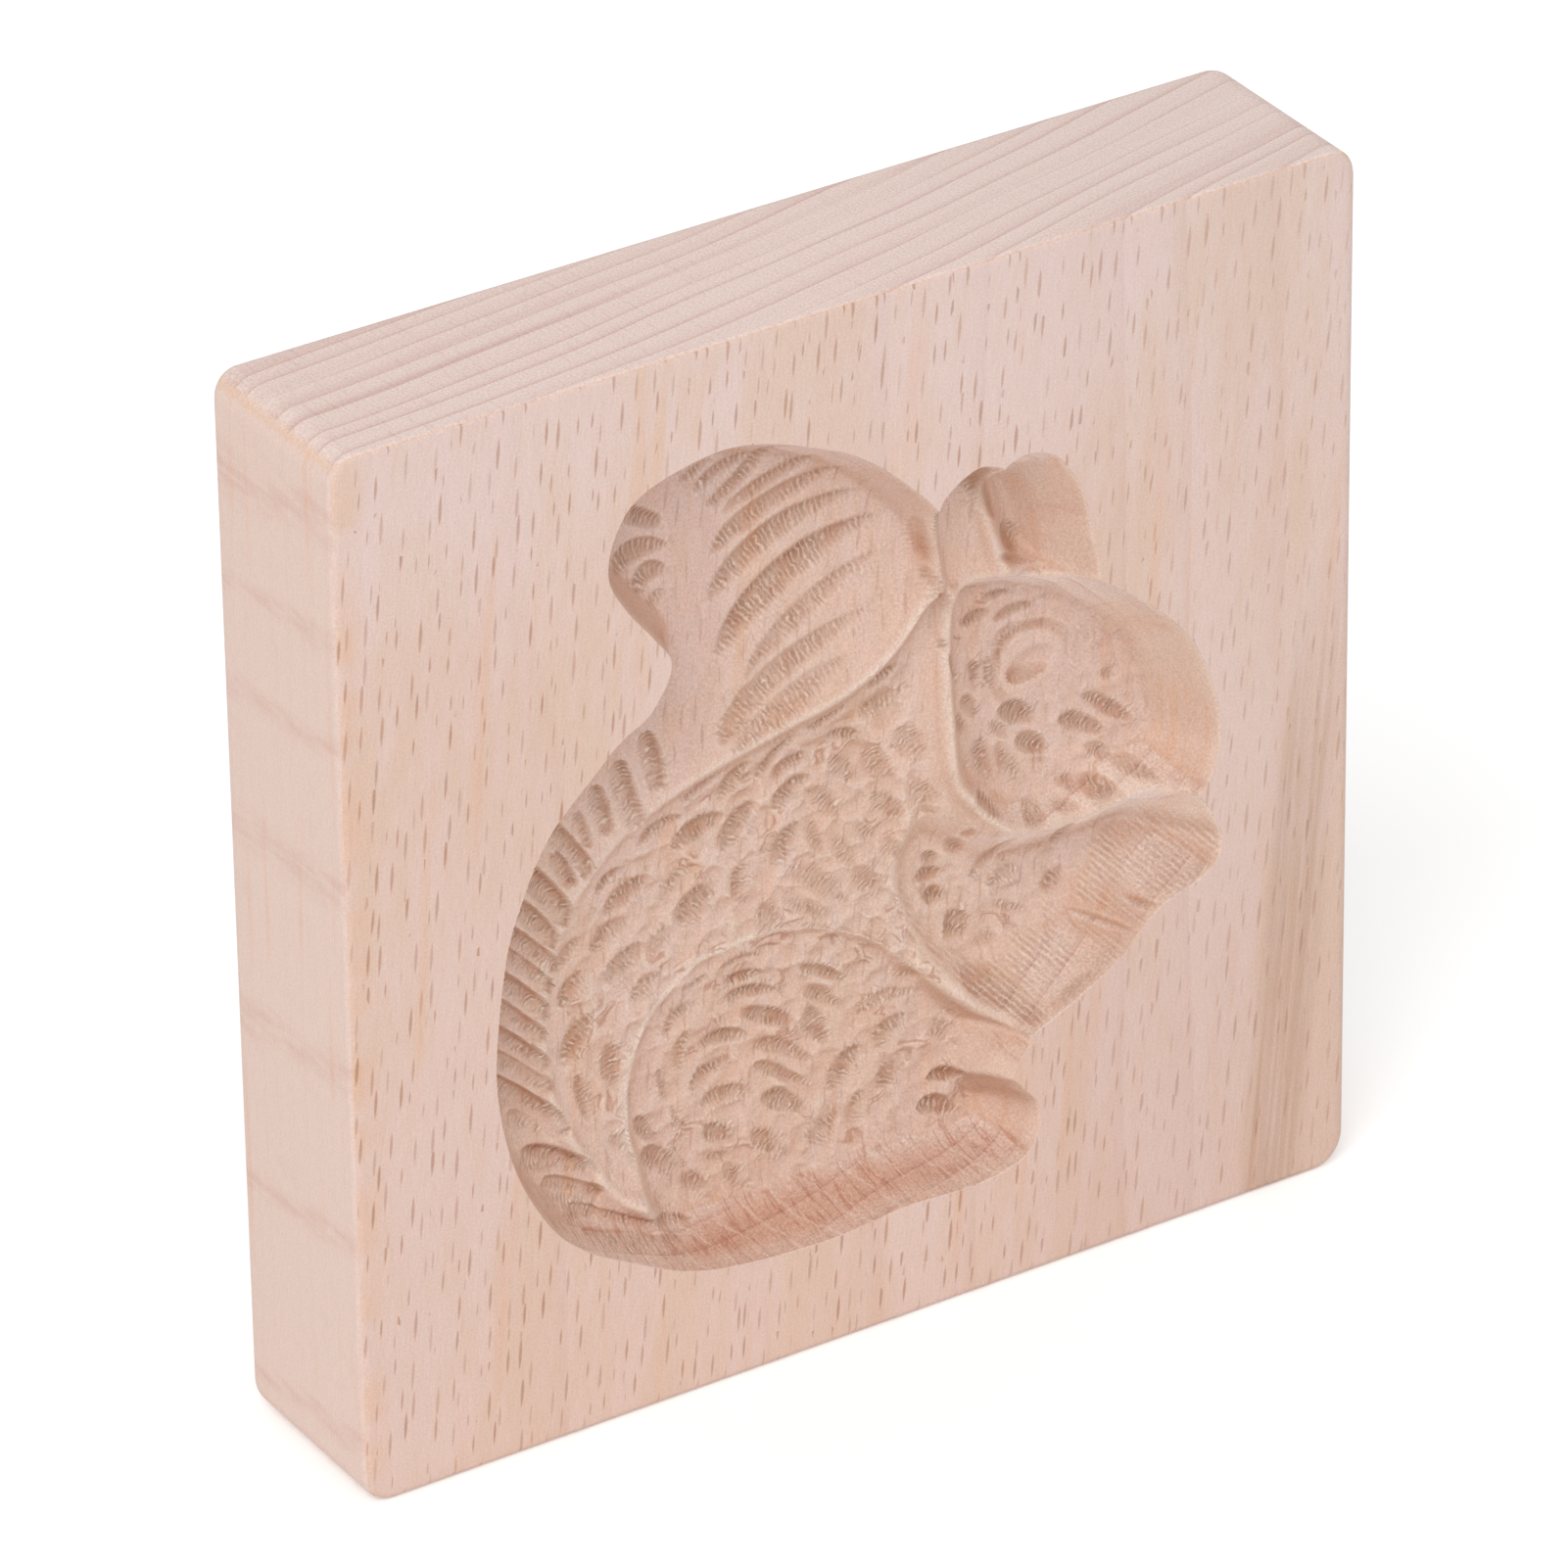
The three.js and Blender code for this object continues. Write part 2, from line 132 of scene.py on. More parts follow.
# Cuts into the floors of the bowls, each as (width, depth, x, z, x, z ...). Its points run along
# the cut's middle and are read on the face plane from the camera's angle.
CUTS = {
    "plume": [
        (1.9, 0.6, -23, 86.6, -21.4, 86.6, -19.4, 85.7), (2.3, 0.75, -23.8, 81.8, -22.2, 83.8, -18.8, 83.3),
        (2.1, 0.7, -21.8, 79.6, -20.9, 81.4, -18.8, 80.8), (1.3, 0.4, -20.7, 77.9, -20, 78.8, -19, 78.9),
        (1.1, 0.35, -17.6, 88.7, -16, 89.4, -14.2, 89.8), (1.5, 0.5, -16.2, 87.4, -13.6, 88.9, -10, 89.4),
        (1.9, 0.6, -15.2, 85.8, -11.6, 87.5, -6, 88.5), (2, 0.6, -13.6, 84.7, -9, 86.3, -3.6, 87),
        (2.5, 0.7, -14.6, 81.2, -9.8, 84.1, -1.6, 85.4), (2.8, 0.8, -15, 76.8, -9.4, 81.3, -0.6, 83),
        (3.6, 1, -14.4, 71.5, -8.3, 77.2, 1.2, 80.1), (2.6, 0.5, -11.6, 67.9, -6.8, 72.6, 1.8, 76.7),
        (3.2, 0.7, -14, 62.9, -9.6, 67.4, 0.4, 71.5), (3, 0.5, -13, 61.8, -7.6, 64.8, -1.5, 67.6),
    ],
    "slit": [
        (1.7, 0.4, 5.5, 78.6, 6.2, 75.4, 7, 73), (1.2, 0.4, 6.6, 73.6, 7.4, 71.4, 8.2, 69.6),
    ],
    "fur": [
        (1.1, 0.35, -17.9, 58.3, -16, 59.4, -13.4, 60.1), (1.8, 0.5, -22, 55.7, -20.4, 56.8, -17.8, 57.2),
        (2.8, 0.7, -19, 54.2, -16.6, 55.6, -13.8, 55.8), (2, 0.5, -14.3, 57.3, -12.9, 59.2, -11, 60.1),
        (2.9, 0.7, -14.1, 52.4, -12.6, 54.8, -10.6, 56.4), (1.6, 0.5, -10.7, 58, -9, 59.8, -6.6, 61.4),
        (1.1, 0.35, -5.6, 61.5, -3.6, 61.9, -1.5, 62.7), (2, 0.6, -9, 57.6, -7.4, 58.8, -5, 59.1),
        (2.4, 0.6, -8.9, 54.7, -7.4, 56.4, -5.2, 57), (1.6, 0.5, -3.9, 60, -2, 60, -0.2, 59.2),
        (2.8, 0.6, -9, 49.4, -7.9, 51.4, -6.2, 53), (2, 0.5, -11.8, 50.8, -12.6, 48.8, -12, 46.6),
        (1.6, 0.6, -26.4, 52.2, -25.2, 53.4, -23.6, 54), (2.8, 0.6, -25.8, 50, -23.8, 51.6, -21, 52.3),
        (2.6, 0.5, -27, 46.8, -25.6, 48.4, -23.3, 49.2), (1.8, 0.4, -30.3, 46, -29.4, 47.6, -27.9, 48.8),
        (2, 0.4, -20, 49.4, -19, 51.2, -17.4, 52.8), (3.6, 0.6, -18.6, 46.6, -17, 48.4, -14.6, 49.8),
        (3, 0.5, -25.6, 43.3, -24, 45, -21.8, 46.1), (2.4, 0.5, -30.1, 42.6, -29.2, 44.2, -27.6, 45.5),
        (2.2, 0.4, -23.2, 40.8, -22, 42, -20.4, 42.8), (2.4, 0.35, -10.8, 45.8, -9.6, 45, -8, 43.6),
        (2.4, 0.35, -21.6, 44.6, -20.4, 46, -18.8, 46.8), (2.2, 0.4, -0.4, 61, 1.6, 62, 4, 62),
        (1.6, 0.4, 0.5, 63.5, 3.5, 65), (3, 0.55, -30.2, 37, -28.8, 39.4, -27.2, 41),
        (1.4, 0.45, -28.8, 35.6, -28.3, 33.2, -27.6, 30.4), (2.5, 0.5, -25.8, 37.6, -25.4, 35.4, -25.2, 33),
        (0.5, 0.2, -26, 27.6, -25.4, 24.6),
    ],
    "chest": [
        (2.4, 0.35, -3.2, 58.4, -2, 56.6, -0.6, 55), (2.2, 0.35, -5, 55.8, -3.8, 54, -2.4, 52.2),
        (1.9, 0.35, -5.8, 53.2, -5, 51, -3.8, 48.8), (2.8, 0.35, 0.2, 58.4, 1.2, 56.2, 2.8, 54.2),
        (2.8, 0.35, 3.6, 59, 4.6, 57, 6.2, 55), (2.6, 0.35, 0.8, 53.6, 2.2, 51.8, 4.2, 50),
        (2, 0.3, -0.9, 51, 0, 49.8, 1.5, 48.7), (2.4, 0.3, 4.4, 53.4, 5.6, 51.8, 7.4, 50.4),
        (2, 0.3, 1.9, 48.9, 2.8, 47.4, 4.2, 45.9), (2.6, 0.35, -1.2, 46.8, 0.2, 45.2, 2.2, 43.6),
        (2.2, 0.3, -3.4, 50.6, -2, 48.6, -0.8, 46.4), (2.8, 0.35, -7.6, 49, -4.6, 46.4, -1.6, 43.4),
        (2, 0.3, -8.4, 46.6, -5.6, 44.2, -2.6, 42.2),
    ],
    "haunch": [
        (0.9, 0.35, -17.8, 40.3, -16.6, 40.6, -15.3, 41), (0.9, 0.35, -14.6, 40.8, -12.6, 41.3, -10.2, 41.1),
        (1.5, 0.6, -14.2, 39.5, -12.2, 39.6, -10, 39.2), (1.7, 0.6, -14.2, 37.9, -11.6, 37.9, -8.2, 36.9),
        (1.6, 0.5, -20.1, 36.2, -18.9, 38, -16.8, 38.7), (1.8, 0.4, -18.8, 32.4, -18.6, 34.6, -17.6, 36.2),
        (1.8, 0.6, -16.9, 34.1, -14.6, 34.5, -11.5, 33.6), (2.2, 0.6, -12.5, 36.2, -10, 35, -6.9, 33.3),
        (2, 0.5, -17.6, 30, -16, 31.6, -13.4, 32.1), (2.1, 0.5, -16.6, 28.2, -14.4, 28.8, -11.4, 27.8),
        (2, 0.5, -11.6, 32.8, -8.8, 31.5, -5.3, 29), (1.7, 0.5, -11.4, 30.6, -8.8, 29, -5.8, 26.4),
        (2.6, 0.65, -10.8, 27, -8.8, 26.3, -6.2, 24.4), (2.2, 0.5, -16.6, 25.6, -15, 25, -13, 23.6),
        (1.4, 0.4, -16.4, 22.6, -14.8, 22.6, -13.4, 22.2), (2.4, 0.5, -11.6, 24.2, -10.4, 22.8, -8.4, 21),
        (2.8, 0.55, -22.8, 25.8, -21, 24.6, -18.7, 22.8), (1.8, 0.5, -23.1, 29.4, -22.2, 27.8, -21, 26.4),
        (1.5, 0.35, -25.7, 28.5, -24.8, 27.4, -23.8, 26.4), (1.5, 0.5, -6.6, 38.6, -4.4, 37.5, -1.8, 35.7),
        (2.1, 0.5, -6.2, 36.6, -4.6, 35.2, -2.6, 33.5), (2.6, 0.5, -5.9, 34.6, -5.2, 32.6, -4, 30.2),
        (2.8, 0.55, -3.4, 25.2, -2.4, 27.4, 0, 28.9), (2.8, 0.5, 1.2, 28, 2.2, 29.8, 4.2, 30.4),
        (2.3, 0.5, 1.5, 23.6, 2.2, 25.2, 3.9, 26.1), (2, 0.35, -2, 21.4, -1.4, 23, -0.2, 24.4),
        (2.6, 0.4, -5.6, 20.4, -4.4, 22.2, -2.2, 23.6), (2.2, 0.45, -19.2, 21.6, -17.6, 21.2, -15.8, 19.8),
        (2, 0.35, -14.2, 22, -13.6, 20.4, -12.2, 18.8), (1.8, 0.7, 6.1, 23.2, 8, 23.2, 10.3, 22.3),
        (2.3, 0.75, 5.1, 20.3, 7, 20.4, 9.2, 19), (2.8, 0.3, 6, 28, 7.2, 27.8, 8.4, 26.6),
        (1.8, 0.35, -0.2, 32.2, 2.2, 33, 5.2, 32.5), (1.6, 0.3, 2.8, 35.5, 4, 34.6, 5.6, 33.8),
        (0.9, 0.4, -20.7, 33.4, -20.4, 31.6, -20, 29.8), (0.6, 0.25, -19.5, 29.4, -19, 27.6, -18.3, 25.6),
    ],
    "head": [
        (1, 0.45, 11.9, 68.4, 13.6, 68.6, 15.4, 68.1), (1.5, 0.55, 9.8, 66.6, 11.4, 67.2, 13.1, 67),
        (1.6, 0.6, 13.3, 66, 15.2, 66.6, 17.5, 66.4), (0.8, 0.3, 17.7, 66.9, 19.4, 66.8),
        (0.6, 0.25, 14.6, 69.7, 16.6, 69.6, 18.4, 69), (1.2, 0.35, 13.1, 63, 14.4, 64.7, 16.8, 64.9),
        (1.3, 0.4, 12.8, 63, 12.6, 61.4, 13.2, 59.6), (1, 0.3, 8, 66, 8.2, 64.6),
        (1.3, 0.4, 8.9, 64, 9.1, 62.8, 9.4, 61.6), (1.6, 0.5, 10.7, 62.9, 11.4, 61.4, 11.3, 59.6),
        (1.9, 0.45, 9.9, 59.8, 10.8, 58.6, 11.3, 57.2), (1.6, 0.35, 9.5, 58.2, 9.8, 57.2, 10.5, 56),
        (2.6, 0.8, 13.6, 57.3, 15.4, 56.6, 17.4, 55), (1.6, 0.4, 12.8, 56.2, 13.8, 55.4, 14.8, 54.2),
        (2.6, 0.4, 11.2, 55.6, 12, 53, 13.2, 50.4), (2.5, 0.7, 15.3, 54, 16.8, 53.2, 18.6, 51.6),
        (1, 0.3, 16.7, 51.4, 18.9, 50.8), (2.4, 0.4, 13.5, 54.4, 14.4, 52, 16.2, 49.8),
        (2, 0.45, 11.4, 50.2, 12.4, 48.4, 14.2, 46.6), (3, 0.5, 15.6, 47.6, 16.8, 46.4, 18.6, 44.8),
        (1.5, 0.35, 18.8, 46.5, 20.4, 45.8, 22.2, 45.1), (2.5, 0.6, 21.4, 47.6, 23.6, 46.6, 26.2, 45),
        (1.8, 0.4, 19.4, 48.6, 20.8, 48, 22.3, 47), (2.3, 0.6, 19.6, 54.6, 21.8, 53.6, 24.4, 51.8),
        (1.9, 0.5, 22, 56.2, 24.6, 54.4, 27.6, 51.8), (1.6, 0.4, 22.4, 51, 24.2, 50, 26, 48.4),
        (1.8, 0.45, 24.6, 49, 27.2, 47.6, 30.2, 45), (1.4, 0.3, 24.2, 57.8, 25.4, 57),
        (2.8, 0.6, 11.7, 80.9, 12.3, 79, 13.4, 76), (2.4, 0.6, 13.9, 75, 14.6, 73.8, 15.7, 72),
        (1.1, 0.35, 13.9, 71.9, 16.5, 70.9),
    ],
    "arm": [
        (1.9, 0.5, 5.9, 45.8, 7.3, 44), (1.9, 0.5, 8.3, 46.4, 9.9, 44.5), (1.5, 0.4, 10, 46.5, 11.3, 45.7),
        (2, 0.6, 5.2, 43.5, 6.4, 43.6, 7.8, 42.9), (2.4, 0.6, 5.8, 41.2, 7, 41.4, 8.3, 40.7),
        (3.4, 0.7, 7.9, 38.4, 9, 37.8, 10.3, 36.3), (1.7, 0.5, 10.6, 41.8, 12.8, 43.4, 15.8, 44.1),
        (2.4, 0.35, 12.8, 40.1, 14, 41.2, 15.7, 41.8), (2.4, 0.5, 19.2, 42.2, 20, 43.2, 21.4, 43.8),
        (2.2, 0.4, 18.5, 37.6, 19, 39, 20.2, 40), (1.6, 0.3, 12.9, 38.4, 15, 37.4, 17.4, 35.8),
        (1.8, 0.35, 10.8, 35, 12.2, 35.4, 13.8, 34.6), (1, 0.3, 19, 26, 21.4, 27.6, 24, 28.3),
        (0.9, 0.3, 20.4, 35.6, 24, 33.4, 28, 30.8), (0.9, 0.3, 25.8, 35.4, 28, 33.8, 30.2, 32.6),
    ],
    "trough": [
        (4.6, 0.6, 9.4, 33.6, 13.4, 29.2, 17.2, 24.6),
    ],
    "tail_edge": [
        (1.7, 0.6, -20.4, 60.6, -20.8, 63.5, -21.5, 66.2), (1.9, 0.65, -22.2, 57.4, -23.5, 60.8, -24.1, 64.4),
        (1.5, 0.55, -25.3, 57.8, -25.9, 60.4, -26.5, 62.7), (1.2, 0.3, -27.2, 57, -28.2, 60.7),
        (1.6, 0.6, -27.8, 55, -28.6, 57, -30, 59.7), (1.4, 0.6, -28.9, 54, -29.7, 55.9, -30.6, 57.6),
        (1.9, 0.75, -29.8, 50.4, -30.8, 53.2, -32.3, 55.9), (1.6, 0.6, -31, 48.8, -32, 51, -33.6, 53.2),
        (1.7, 0.6, -30.6, 46.2, -32.4, 48.4, -34.5, 50.6), (1.6, 0.55, -31.2, 44.4, -32.8, 46.6, -34.9, 48.9),
        (1.9, 0.7, -31.8, 41.8, -33.4, 44.2, -35.4, 46.4), (1.7, 0.7, -32, 39.8, -33.8, 42, -35.7, 44),
        (1.9, 0.75, -31.8, 36.8, -33.8, 39.2, -36, 41.2), (1.8, 0.6, -31.6, 34.6, -33.6, 37, -36.2, 38.8),
        (2, 0.65, -30.2, 30, -32.6, 33.2, -36.1, 36.2), (1.8, 0.35, -31.4, 31, -33.4, 32.6, -35.6, 33.8),
        (2.2, 0.75, -27.2, 24.6, -30.4, 27.4, -34.4, 29.6), (2.2, 0.6, -26.9, 22.8, -29.6, 24.4, -32.6, 26),
        (1.5, 0.5, -27.2, 21, -28.4, 21.8, -30, 22.6), (1.2, 0.35, -18, 17.3, -22.4, 18.4, -27.2, 21.4),
        (1.1, 0.3, -18.6, 15.4, -23.4, 17, -28.4, 19.8),
    ],
}

# By region: how much steeper its cuts are on the left side, as drawn, than on the right, where 0
# is even and 1 is upright; how pointed their ends are; how much wider they are than listed; and
# the share of the listed depth that they have. Every cut is widest a little before its middle,
# and is moved by a share of its width towards the lower right.
LEANS = {"tail_edge": -0.45, "plume": 0.15}
POINTED, POINTED_ELSEWHERE = {"tail_edge": 0.2}, 0.6
WIDER = {"tail_edge": 1.3}
STRENGTHS, STRENGTH_ELSEWHERE = {"plume": 0.58, "trough": 0.5}, 0.85
TAPER = 0.85
CUT_SHIFT = 0.12

# How dark the cuts of a region are, partly their end grain and partly painted shade, the regions
# where only their right side, as drawn, is dark, as painted shade on that side, the depth that
# makes a cut fully dark and the depth from which a point counts as in a cut
DARKNESS = {"plume": 1.1, "tail_edge": 0.7, "trough": 1.6}
SHADED_ON_ONE_SIDE = ("tail_edge",)
FULL_CUT, IN_CUT = 0.5, 0.2

# Between the cuts the fur is worked in shallow scoops side by side, this long and wide and this
# deep, with ridges that waver by so much and stand up by a share of the depth. By bowl: how deep
# they are, and how far inside it they start where that isn't at the foot of its wall.
SCOOP_SIZE = (3.4, 2.2)
SCOOP_ANGLE = 38.0
SCOOP_DEPTH, SCOOP_RISE = 0.75, 0.6
SCOOP_WAVER = 0.45
SCOOPED = {"body": 0.95, "haunch": 0.85, "head": 0.65, "arm": 0.8, "foot": 0.8}
SCOOPED_FROM = {"body": 4.0}

# The eye, read the same way: its middle and how its long axis tilts, the half width and half
# height of its pupil, the radius of the groove round it, with how deep each is cut, and how high
# the ridge round the pupil stands, this many pupil sizes out. How dark the groove and the
# pupil's lower left are.
EYE, EYE_TILT = (17.0, 60.8), 18.0
PUPIL_REACH, PUPIL_DEPTH = (2.5, 1.6), 0.35
RING_RADIUS, RING_WIDTH, RING_DEPTH = 3.8, 1.3, 0.3
LID_PLACE, LID_WIDTH, LID_HEIGHT = 1.22, 0.35, 0.08
GROOVE_DARKNESS, PUPIL_DARKNESS = 0.9, 1.4

# The walls that the cutter left smooth, each above this height, and those that are nearly flat,
# with how soon above it they are so. Below the last height, the cuts in them are rough again.
SMOOTH_ABOVE = {"tail": 69.0, "head": 0.0, "far_ear": 0.0, "near_ear": 0.0, "arm": 37.0}
FLAT_WALLS = ("tail", "head", "far_ear", "near_ear")
WALL_FLATNESS = 0.6
SMOOTH_SOON, FLAT_SOON = 3.0, 6.0
ROUGH_CUTS_BELOW = 60.0

# The floor's slow unevenness, each part as (seed, height, size), and how high the crests stand
# that the cutter's passes leave on the walls of the arm and elsewhere
UNEVEN = ((3, 0.07, 9), (4, 0.03, 3))
MARK_ON_ARM, MARK_ELSEWHERE = 0.02, 0.012

# Those marks, painted into the wood's colour as shade in their gaps and highlight on their crests,
# and in its grain: how far apart they are along a cut and how far they spread round it, how far
# they waver and crinkle, and how much less on the arm's walls and in the plume. Which way they run
# on the arm's walls, and how high they and the wood's fibres stand.
COMB_IN_CUTS, COMB_SPREAD = 0.5, 1.6
COMB_WAVER, COMB_CRINKLE = 0.14, 0.8
ARM_CALM, PLUME_CALM = 0.6, 0.6
ARM_COMB_ANGLE = -49.0
COMB_RELIEF, FIBRE_RELIEF = 0.07, 0.021

# How strong they are on a floor, how much more in scoops and by cuts, and on the arm's walls, and
# how far the plume's are as unbroken as those
FLOOR_MARKS, SCOOP_MARKS, CUT_MARKS, ARM_MARKS = 0.12, 0.2, 0.35, 0.6
PLUME_STEADY = 0.7

# The plume of the tail, as the x and the z over which it fades in, and the depth of the bowls
# at which the carving in them is complete
PLUME_X, PLUME_Z = (9.0, 7.0), (60.0, 64.0)
CARVED_FROM = 0.8

# How far the ridges between the bowls are rounded. How far round each point its surroundings are
# taken, to tell crests from valleys, and how far above or below them a full one lies.
RIDGE_ROUNDING = 0.35
RELIEF_REACH = 0.5
FULL_RELIEF = 0.2

# How light the crests are painted, as painted highlights, and the ridges between the bowls, also
# painted highlights: everywhere, how much more round the haunch, and in a line along its edge. How
# dark the arm's walls are.
CREST_HIGHLIGHT = 0.28
RIDGE_HIGHLIGHT, HAUNCH_HIGHLIGHT, HAUNCH_HIGHLIGHT_LINE = 0.18, 0.42, 0.5
ARM_DARKNESS = 0.08

# The board's edges: radii at the upright corners as seen on the face, and along each edge of
# the front and back faces, in the order bottom, right, top, left.
CORNER_RADII = (3.0, 3.2, 3.0, 2.6)
FRONT_ARRISES = (0.9, 1.3, 0.5, 0.8)
BACK_ARRISES = (1.8, 1.6, 2.0, 2.2)
CORNER_STEPS = 14
ARRIS_STEPS = 10

# The wood: where the tree's pith lay, how far apart its rings are, how much they waver and vary,
# the size of the cells that each hold one ray, along a ring, inwards and upwards, and the lean of
# the grain
PITH = (-80.0, 430.0)
RING_SPACING = 2.3
RING_WAVER, RING_UNEVENNESS = 2.2, 1.9
RAY_CELL = (1.7, 14.0, 3.6)
GRAIN_LEAN = math.tan(math.radians(5))

# Its colours, as seen on a screen: two for the front and back, one for the sides and one for
# the ends. Tints are what a colour is multiplied by: here high up, low down, low at the right,
# all along the right, and in rings, rays, streaks, smudges and edges. The rays that cross the
# top have a share of the rings' tint. Fibres and specks lighten and darken the wood by so much,
# and the specks by more in the hollow and at the ends.
PINK_WOOD = (231, 203, 192)
TAN_WOOD = (228, 197, 179)
SIDE_WOOD = (233, 207, 195)
END_WOOD = (236, 214, 205)
HIGH_TINT = (1.01, 1.05, 1.09)
LOW_TINT = (0.985, 0.975, 0.965)
LOW_RIGHT_TINT = (0.98, 0.965, 0.97)
RIGHT_TINT = (0.965, 0.98, 0.985)
RING_TINT = (0.79, 0.66, 0.65)
RAY_TINT = (0.71, 0.57, 0.49)
STREAK_TINT = (1.0, 0.93, 0.86)
SMUDGE_TINT = (0.94, 0.86, 0.84)
EDGE_TINT = (1.0, 0.93, 0.85)
END_LINE_SHARE = 0.26
FIBRE_SHARE, SPECK_SHARE, MORE_SPECKS = 0.16, 0.3, 0.25
ROUGHNESS, SPECULAR = 0.72, 0.3

# How strong the rings are on the front, against 1 at the ends, and how much weaker at the sides.
# How much weaker the rays are at the ends, at the sides, in the hollow and towards the right.
RINGS_IN_FRONT, RINGS_ASIDE = 0.22, 0.7
RAYS_WEAKER = (0.92, 0.95, 0.5, 0.35)

# The heights of the smudges that cross the sides, with half the height of each
SMUDGES = ((92.5, 3.4), (82, 1.6), (72, 1.8), (59, 3), (41, 2.8), (24, 2), (5, 1.8))

# A browner band of rings low at the right of the front: how far from the pith it lies, how it
# leans, and how high it reaches
BAND_RADII, BAND_LEAN = (455.7, 457.1), 0.024
BAND_TOP = 52.0
BAND_TINT = (0.84, 0.80, 0.75)

# In the hollow, which starts this far behind the face: tints for all of it and for surfaces that
# face down, up and sideways, where those that face down and sideways are darker partly by their
# grain and partly as painted shade
HOLLOW_FROM = (0.03, 0.15)
HOLLOW_TINT = (0.957, 0.915, 0.88)
DOWN_GRAIN_AND_SHADE_TINT = (0.86, 0.79, 0.73)
UP_TINT = (0.935, 0.925, 0.905)
ASIDE_GRAIN_AND_SHADE_TINT = (0.93, 0.88, 0.83)

# For the lowest wall, the rim of walls that face up, darkened as painted shade, and the facets and lines
# across them
LOW_WALL_TINT = (0.85, 0.69, 0.605)
LOW_RIM_SHADE_TINT = (0.89, 0.84, 0.81)
FACET_WIDTH, FACET_TINT = 3.3, (0.95, 0.90, 0.88)
LINE_TINT = (0.84, 0.70, 0.64)

# For the smooth walls at the right that face down and those by the ears and snout, lightened as
# painted light, the plume's left, the low right and the upper edge of the arm's wall
SMOOTH_DOWN_PAINTED_LIGHT = (1.08, 1.13, 1.15)
PAINTED_LIGHT_TINT = (1.06, 1.10, 1.12)
GREY_TINT = (0.965, 0.965, 0.975)
LOW_PALE_TINT = (1.005, 1.03, 1.045)
ARM_RIM_TINT = (0.94, 0.88, 0.845)

# For redder patches, cuts, darker partly by their end grain and partly as painted shade, valleys,
# as painted shade, the lines beside the scoops' ridges and the gaps between comb lines, as painted
# shade. The colour of the painted highlights on the crests, with its share along the rim and on the
# comb lines, which are painted highlights too.
PATCH_TINT = (1.01, 0.97, 0.94)
CUT_GRAIN_AND_SHADE_TINT = (0.81, 0.75, 0.69)
RED_CUT_TINT = (0.86, 0.70, 0.63)
VALLEY_SHADE_TINT = (0.88, 0.82, 0.77)
HAIRLINE_TINT = (0.78, 0.67, 0.61)
COMB_SHADE_TINT, COMB_HIGHLIGHT = (0.79, 0.74, 0.70), 0.66
HIGHLIGHT_COLOUR, RIM_HIGHLIGHT = (242, 223, 208), 0.35

# Soft light from all round, and from these directions, as (way to the light, strength, how many
# degrees wide it looks). The floor is seen this much lighter than it is lit.
AMBIENT_LIGHT = 0.64
SOFT_LIGHTS = {
    "key": ((-0.5, -0.45, 0.74), 1.15, 35),
    "fill": ((0.45, -0.85, 0.25), 0.15, 60),
}
FLOOR_LIFT = 0.22
FLOOR_WHITE, WHITE = (0.98, 0.98, 0.98, 1), (1, 1, 1, 1)


def fade(value, low, high):
    """A straight step from 0 at low to 1 at high."""
    return np.clip((value - low) / (high - low), 0, 1)


def turned(x, z, degrees):
    """The places in axes that are turned by so many degrees."""
    cos, sin = math.cos(math.radians(degrees)), math.sin(math.radians(degrees))
    return x * cos + z * sin, z * cos - x * sin


def beside(x, z, start, along):
    """How far along a straight piece each point lies, as a share, and how far off it."""
    share = ((x - start[0]) * along[0] + (z - start[1]) * along[1]) / (along @ along)
    share = np.clip(share, 0, 1)
    return share, x - start[0] - share * along[0], z - start[1] - share * along[1]


def closed_curve(points, steps=OUTLINE_STEPS):
    """Points of a closed smooth curve through the given ones."""
    points = np.asarray(points, float)
    t = np.linspace(0, 1, steps, endpoint=False)[:, None]
    pieces = []
    for i in range(len(points)):
        before, start, end, after = (points[(i + k) % len(points)] for k in (-1, 0, 1, 2))
        bend = 2 * before - 5 * start + 4 * end - after
        twist = 3 * start - before - 3 * end + after
        pieces.append(start + 0.5 * ((end - before) * t + bend * t**2 + twist * t**3))
    return np.concatenate(pieces)


def distance_inside(x, z, outline):
    """How far each point is inside the outline, negative outside it."""
    nearest = np.full(x.shape, np.inf)
    inside = np.zeros(x.shape, bool)
    for start, end in zip(outline, np.roll(outline, -1, axis=0)):
        along = end - start
        _, off_x, off_z = beside(x, z, start, along)
        nearest = np.minimum(nearest, off_x**2 + off_z**2)
        if along[1]:
            crosses = (start[1] > z) != (end[1] > z)
            inside ^= crosses & (x < start[0] + (z - start[1]) * along[0] / along[1])
    nearest = np.sqrt(nearest)
    return np.where(inside, nearest, -nearest)


